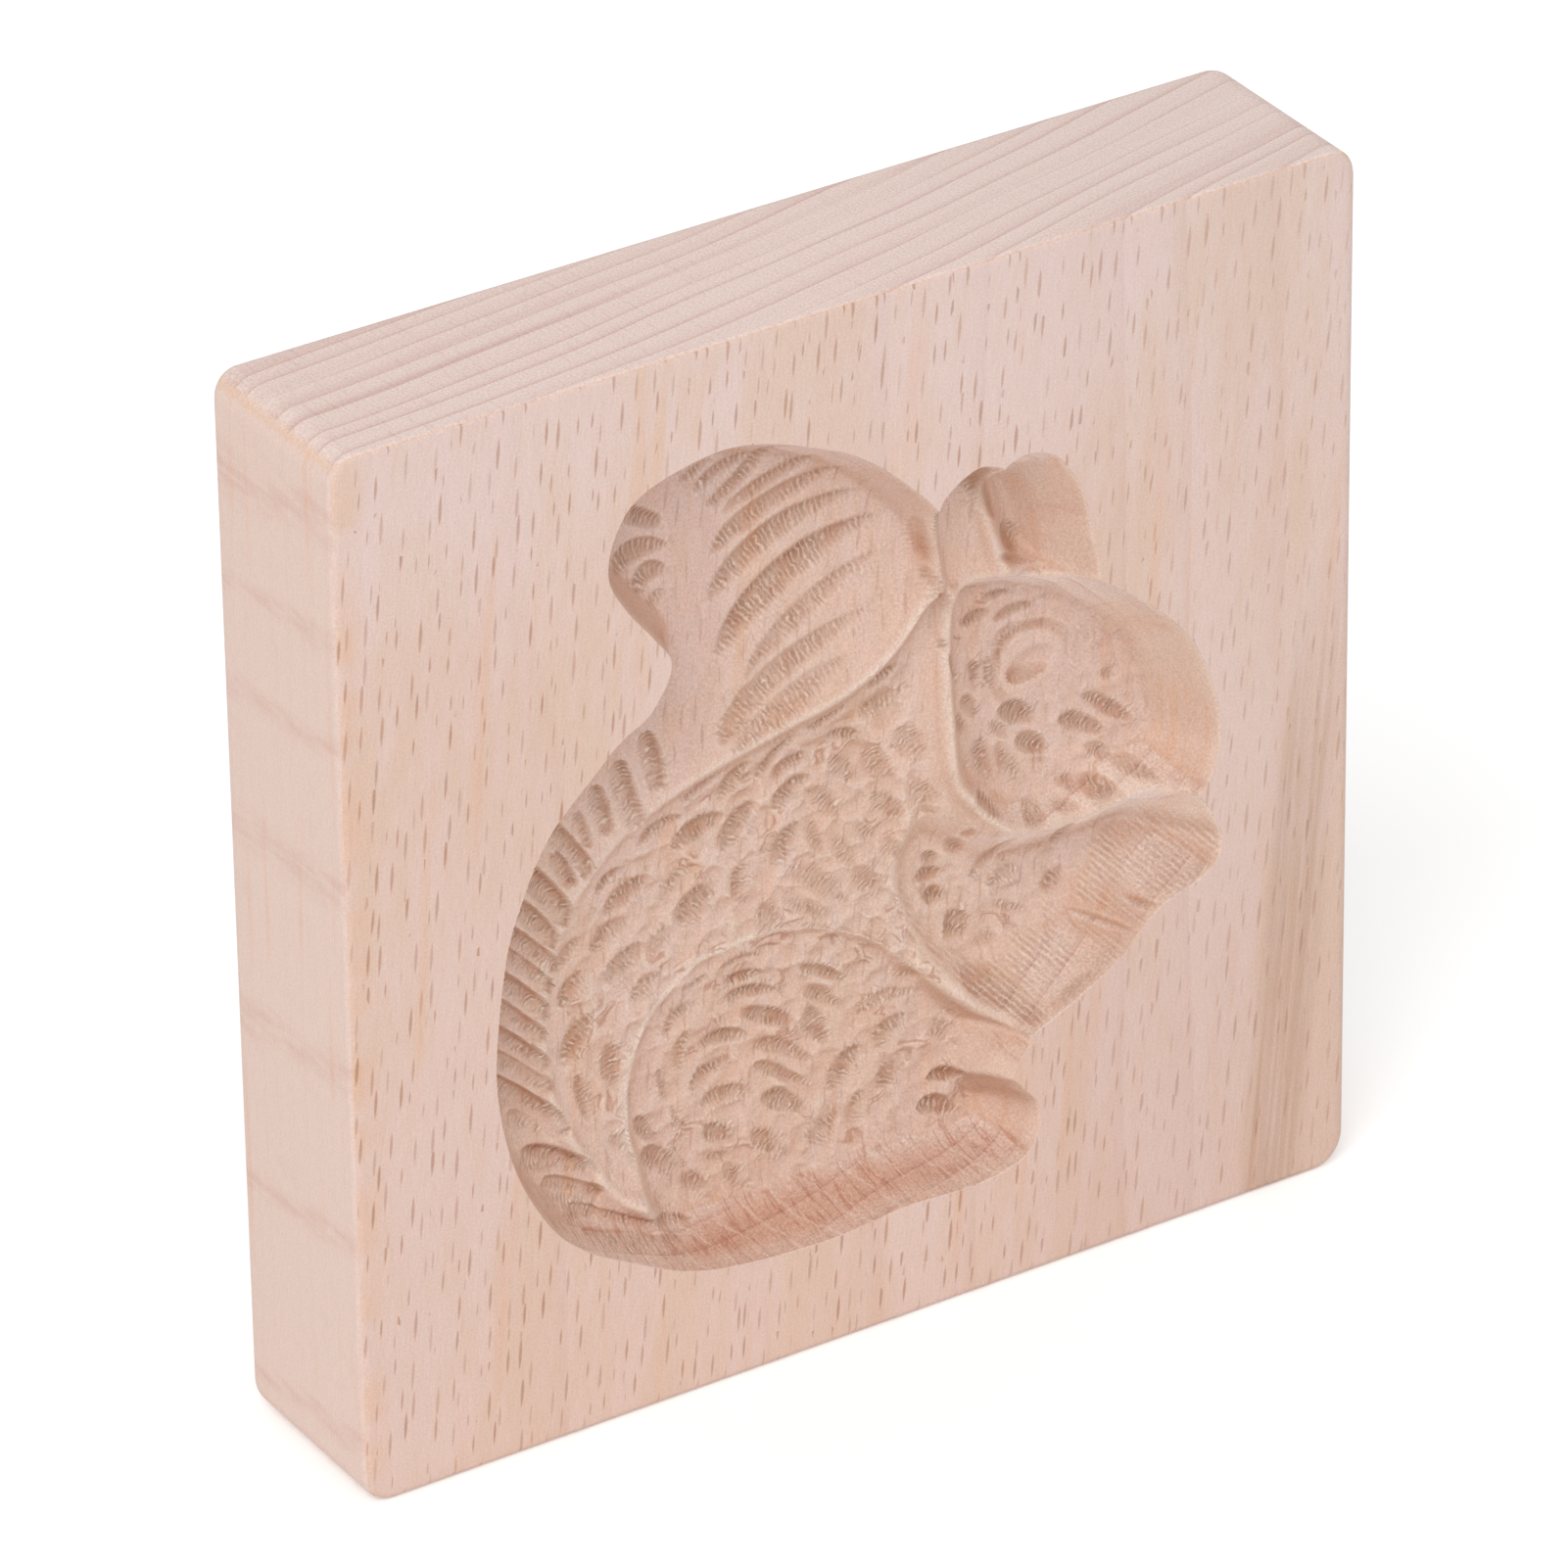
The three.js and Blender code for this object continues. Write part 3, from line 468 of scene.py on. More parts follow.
def bowl_depth(x, z):
    """The depth of the bowls alone, how smooth and scooped they are and whether this is the
    arm's wall, 0 to 1, and how far the deepest bowl is beyond the next."""
    depth = np.full(x.shape, -10.0)
    smooth, scooped, arm_wall, second = (np.zeros(x.shape) for _ in range(4))
    for name, (wall, run, crown, reach, outline) in BOWLS.items():
        inside = distance_inside(x, z, closed_curve(outline))
        on_wall = np.clip(inside / run, 0, 1)
        lowest = SMOOTH_ABOVE.get(name, HIGH[2])
        own_smooth = fade(on_wall, 1, 2 / 3) * fade(z, lowest, lowest + SMOOTH_SOON)
        flat = WALL_FLATNESS * (name in FLAT_WALLS) * fade(z, lowest, lowest + FLAT_SOON)
        curved = np.sin(on_wall * math.pi / 2) ** WALL_FULLNESS
        floor = wall * (curved + flat * (on_wall - curved))
        floor += crown * (1 - np.exp(-np.maximum(inside, 0) / reach))
        own = np.where(inside < 0, inside * OUTSIDE_SLOPE * wall / run, floor)
        deeper = own > depth
        smooth = np.where(deeper, own_smooth, smooth)
        wall_end = SCOOPED_FROM.get(name, WALL_FOOT * run)
        own_scooped = fade(inside, wall_end, wall_end + 1) * SCOOPED.get(name, 0)
        scooped = np.where(deeper, own_scooped, scooped)
        arm_wall = np.where(deeper, fade(on_wall, 1, WALL_FOOT) * (name == "arm"), arm_wall)
        second = np.maximum(second, np.minimum(depth, own))
        depth = np.maximum(depth, own)
    return depth, smooth, scooped, arm_wall, depth - second


class Floor:
    """The bowls' depth on a square grid, to look points up in."""

    STEP = 0.25
    LEAST = np.array([-40.0, 5.0])
    MOST = np.array([40.0, 95.0])

    def __init__(self):
        self.size = np.round((self.MOST - self.LEAST) / self.STEP).astype(int) + 1
        x = self.LEAST[0] + self.STEP * np.arange(self.size[0])
        z = self.LEAST[1] + self.STEP * np.arange(self.size[1])
        self.depths = bowl_depth(*np.meshgrid(x, z, indexing="ij"))[0]

    def depth(self, place):
        on_grid = np.clip((place - self.LEAST) / self.STEP, 0, self.size - 1.001)
        (i, j), (u, v) = on_grid.astype(int), on_grid % 1
        low = self.depths[i, j] * (1 - u) + self.depths[i + 1, j] * u
        high = self.depths[i, j + 1] * (1 - u) + self.depths[i + 1, j + 1] * u
        return low * (1 - v) + high * v


SIGHT = -np.array(CAMERA_PLACE) + np.array([CARVED_MIDDLE[0], FRONT, CARVED_MIDDLE[1]])
SIGHT_STEP = 0.05
MOST_DEPTH = 9.0


def on_floor(points, floor):
    """Points read on the face plane, moved along the camera's sight line to the floor."""
    slope = SIGHT[[0, 2]] / SIGHT[1]
    moved = []
    for point in points:
        for depth in np.arange(0, MOST_DEPTH, SIGHT_STEP):
            place = np.array(point) + slope * depth
            if floor.depth(place) <= depth:
                break
        moved.append(place)
    return np.array(moved)


def stroke_line(points, steps=14):
    """Points along a straight stroke, or along the bend through three points."""
    t = np.linspace(0, 1, steps)[:, None]
    if len(points) == 2:
        return points[0] + (points[1] - points[0]) * t
    middle = 2 * points[1] - (points[0] + points[2]) / 2
    return points[0] * (1 - t) ** 2 + middle * 2 * t * (1 - t) + points[2] * t**2


def away_from_jumps(field, least=0.7):
    """1 where the field is even on the grid, and 0 close to where it jumps by more than least."""
    jumps = np.zeros(field.shape)
    for axis in (0, 1):
        change = np.diff(field, axis=axis, prepend=field.take([0], axis))
        jumps = np.maximum(jumps, np.abs(change) > least)
    return 1 - np.clip(20 * blurred(jumps, (0.8, 1.6)), 0, 1)


class Fur:
    """The cuts and the eye on a grid: their depth, how dark each point is, how far along its cut
    it lies and how far away from it. The eye also has a lid that stands up, and the marks keep
    off it where calm is 1, and the scoops where off_eye is 0."""

    def __init__(self, x, z):
        self.x, self.z, self.floor = x, z, Floor()
        self.depth, self.along, self.dark = (np.zeros(x.shape) for _ in range(3))
        self.away = np.full(x.shape, COMB_SPREAD)
        for region, cuts in CUTS.items():
            for width, depth, *places in cuts:
                line = stroke_line(on_floor(np.reshape(places, (-1, 2)), self.floor))
                line += np.array([1, -1]) * CUT_SHIFT * width / math.sqrt(2)
                depth *= STRENGTHS.get(region, STRENGTH_ELSEWHERE)
                self.cut(line, width * WIDER.get(region, 1), depth, region)
        self.eye()

    def cut(self, line, width, depth, region):
        """Adds one leaf-shaped cut along the line, where it is deeper than the others."""
        reach = width / 2
        low, high = line.min(0) - reach - COMB_SPREAD, line.max(0) + reach + COMB_SPREAD
        near = (self.x > low[0]) & (self.x < high[0]) & (self.z > low[1]) & (self.z < high[1])
        x, z = self.x[near], self.z[near]
        nearest = np.full(x.shape, np.inf)
        share, side, passed = (np.zeros(x.shape) for _ in range(3))
        pieces = len(line) - 1
        before = 0
        for k in range(pieces):
            start, along = line[k], line[k + 1] - line[k]
            length = np.hypot(*along)
            t, off_x, off_z = beside(x, z, start, along)
            off = np.hypot(off_x, off_z)
            closer = off < nearest
            nearest = np.where(closer, off, nearest)
            share = np.where(closer, (k + t) / pieces, share)
            passed = np.where(closer, before + t * length, passed)
            left = (along[0] * off_z - along[1] * off_x) / length
            side = np.where(closer, left, side)
            before += length
        lean = LEANS.get(region, 0)
        share = share**TAPER
        leaf = (4 * share * (1 - share)) ** POINTED.get(region, POINTED_ELSEWHERE)
        across = side / np.maximum(reach * leaf, 0.01)
        steep = np.where(across < lean, 1 + lean, 1 - lean)
        profile = np.maximum(1 - ((across - lean) / steep) ** 2, 0) * leaf
        profile = np.where(nearest < np.maximum(reach * leaf, 0.01), profile, 0)
        dark = np.clip(profile * depth / FULL_CUT, 0, 1)
        # In these regions only the right side of a cut, as drawn, is dark: painted shade on that side.
        if region in SHADED_ON_ONE_SIDE:
            dark = np.clip(2 * profile, 0, 1) * np.clip(0.45 - 1.1 * across, 0.1, 1)
        dark = dark * DARKNESS.get(region, 1)
        away = nearest - reach * leaf
        if region != "trough":
            self.along[near] = np.where(away < self.away[near], passed, self.along[near])
            self.away[near] = np.minimum(away, self.away[near])
        self.dark[near] = np.where(depth * profile > self.depth[near], dark, self.dark[near])
        self.depth[near] = np.maximum(depth * profile, self.depth[near])

    def eye(self):
        """The pupil, the groove round it and, as a height, the ridge between them."""
        middle = on_floor([EYE], self.floor)[0]
        off_x, off_z = self.x - middle[0], self.z - middle[1]
        long_way, short_way = turned(off_x, off_z, EYE_TILT)
        long_way, short_way = long_way / PUPIL_REACH[0], short_way / PUPIL_REACH[1]
        sizes_out = np.hypot(long_way, short_way)
        pupil = PUPIL_DEPTH * (1 - sizes_out**2)
        away = np.hypot(off_x, off_z)
        upper_left = 0.5 + 0.5 * (off_z - off_x) / np.maximum(away, 0.1) / math.sqrt(2)
        groove = RING_DEPTH * (1 - ((away - RING_RADIUS) / (RING_WIDTH / 2)) ** 2) * upper_left
        lower_left = np.clip(-long_way - short_way, 0, 1) * (sizes_out < 1)
        self.depth = np.maximum(self.depth, np.maximum(pupil, groove))
        self.off_eye = fade(away, RING_RADIUS, RING_RADIUS + 1)
        self.dark = np.maximum(self.dark, np.clip(groove / RING_DEPTH, 0, 1) * GROOVE_DARKNESS)
        self.dark = np.maximum(self.dark, lower_left * PUPIL_DARKNESS)
        self.calm = fade(sizes_out, 1.2, 1.2 - 1 / 3) * fade(lower_left, 0.5, 0)
        self.lid = LID_HEIGHT * np.clip(1 - ((sizes_out - LID_PLACE) / LID_WIDTH) ** 2, 0, 1)


def wavelets(x, z, seed, size, count=5):
    """A smooth random field between about -1 and 1, with waves about size long."""
    random = np.random.default_rng(seed)
    total = np.zeros(x.shape)
    for _ in range(count):
        angle, phase = random.uniform(0, math.tau, 2)
        wave = math.tau / (size * random.uniform(0.7, 1.5))
        total += np.sin((x * math.cos(angle) + z * math.sin(angle)) * wave + phase)
    return total / math.sqrt(count) / 1.4


def scoops(x, z, seed=8):
    """Hollows side by side, 1 in their middles, and how far each point is from their ridges."""
    x = x + SCOOP_WAVER * wavelets(x, z, 11, 2.4)
    z = z + SCOOP_WAVER * wavelets(x, z, 12, 2.4)
    along, across = turned(x, z, SCOOP_ANGLE)
    along, across = along / SCOOP_SIZE[0], across / SCOOP_SIZE[1]
    places = np.random.default_rng(seed).uniform(0.1, 0.9, (2, 128, 128))
    i, j = np.floor(along).astype(int), np.floor(across).astype(int)
    nearest, second = np.full(x.shape, np.inf), np.full(x.shape, np.inf)
    for near_i in (i - 1, i, i + 1):
        for near_j in (j - 1, j, j + 1):
            off_along, off_across = places[:, near_i % 128, near_j % 128]
            away = (near_i + off_along - along) ** 2 + (near_j + off_across - across) ** 2
            second = np.minimum(second, np.maximum(nearest, away))
            nearest = np.minimum(nearest, away)
    from_ridge = (np.sqrt(second) - np.sqrt(nearest)) / 2 * sum(SCOOP_SIZE) / 2
    return np.clip(1 - nearest, 0, 1), from_ridge


def blurred(field, reaches):
    """The field averaged round each point, over about so many samples along each axis."""
    for axis, reach in enumerate(reaches):
        offsets = np.arange(-math.ceil(2.5 * reach), math.ceil(2.5 * reach) + 1)
        weights = np.exp(-0.5 * (offsets / reach) ** 2)
        weights /= weights.sum()
        field = np.apply_along_axis(np.convolve, axis, field, weights, mode="same")
    return field


class Carving:
    """The carving on a grid along the cutter's passes, and what its colour depends on."""

    def __init__(self):
        self.steps = np.array([SAMPLE_ALONG, PASS_WIDTH / SAMPLES_PER_PASS])
        self.start = -PASSES * PASS_WIDTH
        along, across = (np.arange(self.start, -self.start, step) for step in self.steps)
        u, v = np.meshgrid(along, across, indexing="ij")
        off_x, off_z = turned(u, v, -PASS_ANGLE)
        self.x, self.z = CARVED_MIDDLE[0] + off_x, CARVED_MIDDLE[1] + off_z
        bowls, smooth, scooped, arm_wall, beyond_next = bowl_depth(self.x, self.z)
        rounded = blurred(bowls, RIDGE_ROUNDING / self.steps)
        bowls += fade(bowls, 0.5, 1.5) * (rounded - bowls)
        inside = fade(bowls, 0, CARVED_FROM)
        in_plume = fade(self.z, *PLUME_Z) * fade(self.x, *PLUME_X)

        fur = Fur(self.x, self.z)
        in_cuts = fade(fur.depth, 0, IN_CUT)
        hollows, from_ridge = scoops(self.x, self.z)
        scooped *= fur.off_eye
        carved = np.maximum(fur.depth, SCOOP_DEPTH * scooped * (hollows - SCOOP_RISE)) - fur.lid
        uneven = sum(height * self.waves(seed, size) for seed, height, size in UNEVEN)

        plain = smooth * (1 - in_cuts * (self.z < ROUGH_CUTS_BELOW))
        broken = np.clip(0.65 + 0.8 * self.waves(5, 1.4, 9), 0, 1.2) * (1 - plain)
        steady = np.clip(0.8 + 0.4 * self.waves(6, 4), 0, 1.1) * (1 - smooth)
        broken += np.maximum(arm_wall, PLUME_STEADY * in_plume) * (steady - broken)
        cusp = np.abs(2 * ((v / PASS_WIDTH) % 1) - 1) ** 2
        height = np.maximum(MARK_ELSEWHERE, MARK_ON_ARM * arm_wall) * (1 - in_cuts)
        self.depth = bowls + inside * (carved + uneven - height * broken * cusp)

        by_cuts = 1 - fur.away / COMB_SPREAD
        on_floor = FLOOR_MARKS + SCOOP_MARKS * fade(scooped, 0, 0.25) + CUT_MARKS * by_cuts
        marked = np.maximum(ARM_MARKS * arm_wall, on_floor * (1 - smooth))
        marked = np.maximum(in_cuts * (fur.away < 0), marked)

        _, on_arm = turned(self.x, self.z, ARM_COMB_ANGLE)
        comb = np.where(arm_wall > 0.1, on_arm, v) + 2 * abs(self.start)
        combed = (fur.away < 0) | ((by_cuts > 0) & (arm_wall < 0.1))
        comb = np.where(combed, fur.along * PASS_WIDTH / COMB_IN_CUTS, comb)
        comb += COMB_WAVER * (1 - ARM_CALM * arm_wall) * self.waves(7, 1.3, 9)

        reaches = RELIEF_REACH / self.steps
        crests = self.relief(np.maximum(self.depth, 0), reaches)
        valleys = self.relief(-inside * carved, reaches)
        # Lighter ridges between the bowls, most round the haunch and in a line along its edge: painted
        # highlights.
        ridges = self.relief(np.maximum(bowls, 0), 1.6 * reaches)
        in_haunch = distance_inside(self.x, self.z, closed_curve(BOWLS["haunch"][-1]))
        by_haunch = fade(np.abs(in_haunch - 1), 4, 3) * fade(self.x, -4, -8) * fade(self.z, 20, 24)
        ridges *= (RIDGE_HIGHLIGHT + HAUNCH_HIGHLIGHT * by_haunch) * fade(bowls, 0.6, 1.6)
        ridges += HAUNCH_HIGHLIGHT_LINE * by_haunch * fade(beyond_next, 0.39, 0.09)
        # crest holds painted highlights on crests and ridges, valley painted shade in the valleys of the cuts
        # and scoops, and cut the cuts' darkness, partly end grain and partly painted shade.
        self.fields = {
            "crest": CREST_HIGHLIGHT * crests + ridges * (1 - smooth),
            "valley": valleys,
            "cut": np.maximum(fur.dark, ARM_DARKNESS * arm_wall * (1 - smooth)),
            "comb": comb,
            "crinkle": COMB_CRINKLE * (1 - ARM_CALM * np.maximum(arm_wall, PLUME_CALM * in_plume)),
            "marks": marked * broken * inside * away_from_jumps(comb) * (1 - fur.calm),
            "smooth": smooth,
            "from_ridge": np.where(in_cuts < 0.5, 1 - scooped * (1 - from_ridge), 1),
        }

    def waves(self, seed, size, count=5):
        """A smooth random field between about -1 and 1, with waves about size long."""
        return wavelets(self.x, self.z, seed, size, count)

    def relief(self, depth, reaches):
        """1 where a point lies well above its surroundings and 0 where it doesn't."""
        return fade(blurred(depth, reaches) - depth, 0, FULL_RELIEF)

    def cutter(self):
        """A closed solid whose floor is the carving."""
        rows, columns = self.x.shape
        depth = np.maximum(self.depth, -CUTTER_RISE)
        grid = np.stack([self.x, FRONT + depth, self.z], -1).reshape(-1, 3)
        ends = np.array([0, columns - 1, rows * columns - 1, (rows - 1) * columns])
        top = grid[ends]
        top[:, 1] = FRONT - CUTTER_REACH
        vertices = np.concatenate([grid, top]) * MM
        number = np.arange(rows * columns).reshape(rows, columns)
        a, b = number[:-1, :-1].ravel(), number[:-1, 1:].ravel()
        c, d = number[1:, 1:].ravel(), number[1:, :-1].ravel()
        faces = np.stack([a, b, c, d], 1).tolist()
        t0, t1, t2, t3 = range(rows * columns, rows * columns + 4)
        faces.append([*number[0, ::-1].tolist(), t0, t1])
        faces.append([*number[::-1, -1].tolist(), t1, t2])
        faces.append([*number[-1, :].tolist(), t2, t3])
        faces.append([*number[:, 0].tolist(), t3, t0])
        faces.append([t3, t2, t1, t0])
        return new_object("cutter", vertices.tolist(), faces)

    def mark(self, mesh):
        """Stores the fields at the mesh's vertices, for the wood's colour and the shade and highlights
        painted into it.
        """
        places = np.empty(len(mesh.vertices) * 3)
        mesh.vertices.foreach_get("co", places)
        x, _, z = places.reshape(-1, 3).T / MM
        on_grid = np.stack(turned(x - CARVED_MIDDLE[0], z - CARVED_MIDDLE[1], PASS_ANGLE))
        on_grid = np.round((on_grid - self.start) / self.steps[:, None]).astype(int)
        i, j = np.clip(on_grid, 0, np.array(self.x.shape)[:, None] - 1)
        for name, field in self.fields.items():
            attribute = mesh.attributes.new(name, "FLOAT", "POINT")
            attribute.data.foreach_set("value", field[i, j].astype(np.float32))


def placed(name, data):
    """A new object in the scene that holds this mesh, lamp or camera."""
    made = bpy.data.objects.new(name, data)
    bpy.context.scene.collection.objects.link(made)
    return made


def new_object(name, vertices, faces):
    mesh = bpy.data.meshes.new(name)
    mesh.from_pydata(vertices, [], faces)
    mesh.validate()
    return placed(name, mesh)


def board_rim():
    """Points round the board as (middle x, middle z, radius, angle, front arris, back arris)."""
    middle_x = (LOW[0] + HIGH[0]) / 2
    rim = []
    for k, (side, top) in enumerate(((1, 0), (1, 1), (-1, 1), (-1, 0))):
        start, radius = 90 * (k - 1), CORNER_RADII[(k + 1) % 4]
        centre_x = middle_x + side * (WIDTH / 2 - radius)
        centre_z = HIGH[2] - radius if top else LOW[2] + radius
        for step in range(CORNER_STEPS + 1):
            share = step / CORNER_STEPS
            angle = math.radians(start + 90 * share)
            blend = 0.5 - 0.5 * math.cos(math.pi * share)
            front = FRONT_ARRISES[k] * (1 - blend) + FRONT_ARRISES[(k + 1) % 4] * blend
            back = BACK_ARRISES[k] * (1 - blend) + BACK_ARRISES[(k + 1) % 4] * blend
            rim.append((centre_x, centre_z, radius, angle, front, back))
    return rim


def board_shell():
    """The board before it is carved: a rounded square with arrises that differ by edge."""
    rim = board_rim()
    count = len(rim)
    vertices = []
    for ring in range(2 * (ARRIS_STEPS + 1)):
        at_back = ring > ARRIS_STEPS
        turn = math.pi / 2 * (ring % (ARRIS_STEPS + 1)) / ARRIS_STEPS
        for centre_x, centre_z, radius, angle, front, back in rim:
            if at_back:
                inset, y = back * (1 - math.cos(turn)), HIGH[1] - back * (1 - math.sin(turn))
            else:
                inset, y = front * (1 - math.sin(turn)), FRONT + front * (1 - math.cos(turn))
            reach = radius - inset
            x, z = centre_x + reach * math.cos(angle), centre_z + reach * math.sin(angle)
            vertices.append((x * MM, y * MM, z * MM))
    faces = [tuple(range(count)), tuple(reversed(range(len(vertices) - count, len(vertices))))]
    for ring in range(2 * (ARRIS_STEPS + 1) - 1):
        for i in range(count):
            a, b = ring * count + i, ring * count + (i + 1) % count
            faces.append((a, a + count, b + count, b))
    return new_object("board", vertices, faces)


def mould_block():
    board = board_shell()
    carving = Carving()
    cutter = carving.cutter()
    cut = board.modifiers.new("carving", "BOOLEAN")
    cut.operation = "DIFFERENCE"
    cut.solver = "MANIFOLD"
    cut.object = cutter
    scene_graph = bpy.context.evaluated_depsgraph_get()
    mesh = bpy.data.meshes.new_from_object(board.evaluated_get(scene_graph))
    bpy.data.objects.remove(cutter)
    bpy.data.objects.remove(board)
    mesh.name = "carved_board"
    mesh.materials.clear()
    carved = placed("carved_board", mesh)
    mesh.shade_smooth()
    mesh.set_sharp_from_angle(angle=math.radians(32))
    carving.mark(mesh)
    return carved


def srgb(red, green, blue):
    """A colour as seen on a screen, 0 to 255, as the linear values that nodes take."""
    shares = [value / 255 for value in (red, green, blue)]
    linear = [s / 12.92 if s <= 0.04045 else ((s + 0.055) / 1.055) ** 2.4 for s in shares]
    return (*linear, 1)


class Value:
    """A number that a material works out at each point: sums and the like add nodes to it."""

    def __init__(self, paint, socket):
        self.paint, self.socket = paint, socket

    def math(self, operation, *others):
        return self.paint.math(operation, self, *others)

    def __add__(self, other):
        return self.math("ADD", other)

    def __sub__(self, other):
        return self.math("SUBTRACT", other)

    def __rsub__(self, other):
        return self.paint.math("SUBTRACT", other, self)

    def __mul__(self, other):
        return self.math("MULTIPLY", other)

    def __abs__(self):
        return self.math("ABSOLUTE")

    def ramp(self, low, high):
        """A smooth step from 0 at low to 1 at high."""
        made = self.paint.node("MapRange", self, low, high, 0.0, 1.0, interpolation_type="SMOOTHSTEP")
        return Value(self.paint, made.outputs[0])


class Paint:
    """The nodes of a material or world, which are added and joined one at a time."""

    def __init__(self, owner, shader="Principled BSDF"):
        owner.use_nodes = True
        self.owner, self.tree = owner, owner.node_tree
        self.shader = self.tree.nodes[shader]

    def surface(self, inputs):
        """Sets or joins the shader's own inputs."""
        for name, value in inputs.items():
            self.feed(self.shader.inputs[name], value)

    def feed(self, socket, value):
        if isinstance(value, Value):
            value = value.socket
        if isinstance(value, bpy.types.NodeSocket):
            self.tree.links.new(value, socket)
        else:
            socket.default_value = value

    def node(self, kind, *inputs, named=None, **settings):
        made = self.tree.nodes.new("ShaderNode" + kind)
        for name, value in settings.items():
            setattr(made, name, value)
        for socket, value in zip(made.inputs, inputs):
            self.feed(socket, value)
        for name, value in (named or {}).items():
            self.feed(made.inputs[name], value)
        return made

    def math(self, operation, *values):
        return Value(self, self.node("Math", *values, operation=operation).outputs[0])

    def point(self, x, y, z):
        return self.node("CombineXYZ", x, y, z).outputs[0]

    def parts(self, vector):
        return [Value(self, part) for part in self.node("SeparateXYZ", vector).outputs]

    def noise(self, place, detail=1.0):
        """Smooth noise from 0 to 1 with features about one unit across."""
        named = {"Vector": place, "Scale": 1.0, "Detail": detail}
        return Value(self, self.node("TexNoise", named=named).outputs[0])

    def field(self, name):
        """What the carving stored at the vertices under this name."""
        return Value(self, self.node("Attribute", attribute_name=name).outputs["Fac"])

    def mix(self, share, first, second, **settings):
        """The second colour where share is 1 and the first where it is 0."""
        made = self.node("Mix", data_type="RGBA", **settings)
        for k, value in ((0, share), (6, first), (7, second)):
            self.feed(made.inputs[k], value)
        return made.outputs[2]

    def tinted(self, colour, *tints):
        """The colour, multiplied by each tint where its share is 1."""
        for share, tint in tints:
            colour = self.mix(share, colour, (*tint, 1), blend_type="MULTIPLY")
        return colour

    def scaled(self, colour, value):
        by = self.point(value, value, value)
        return self.node("VectorMath", colour, by, operation="MULTIPLY").outputs[0]


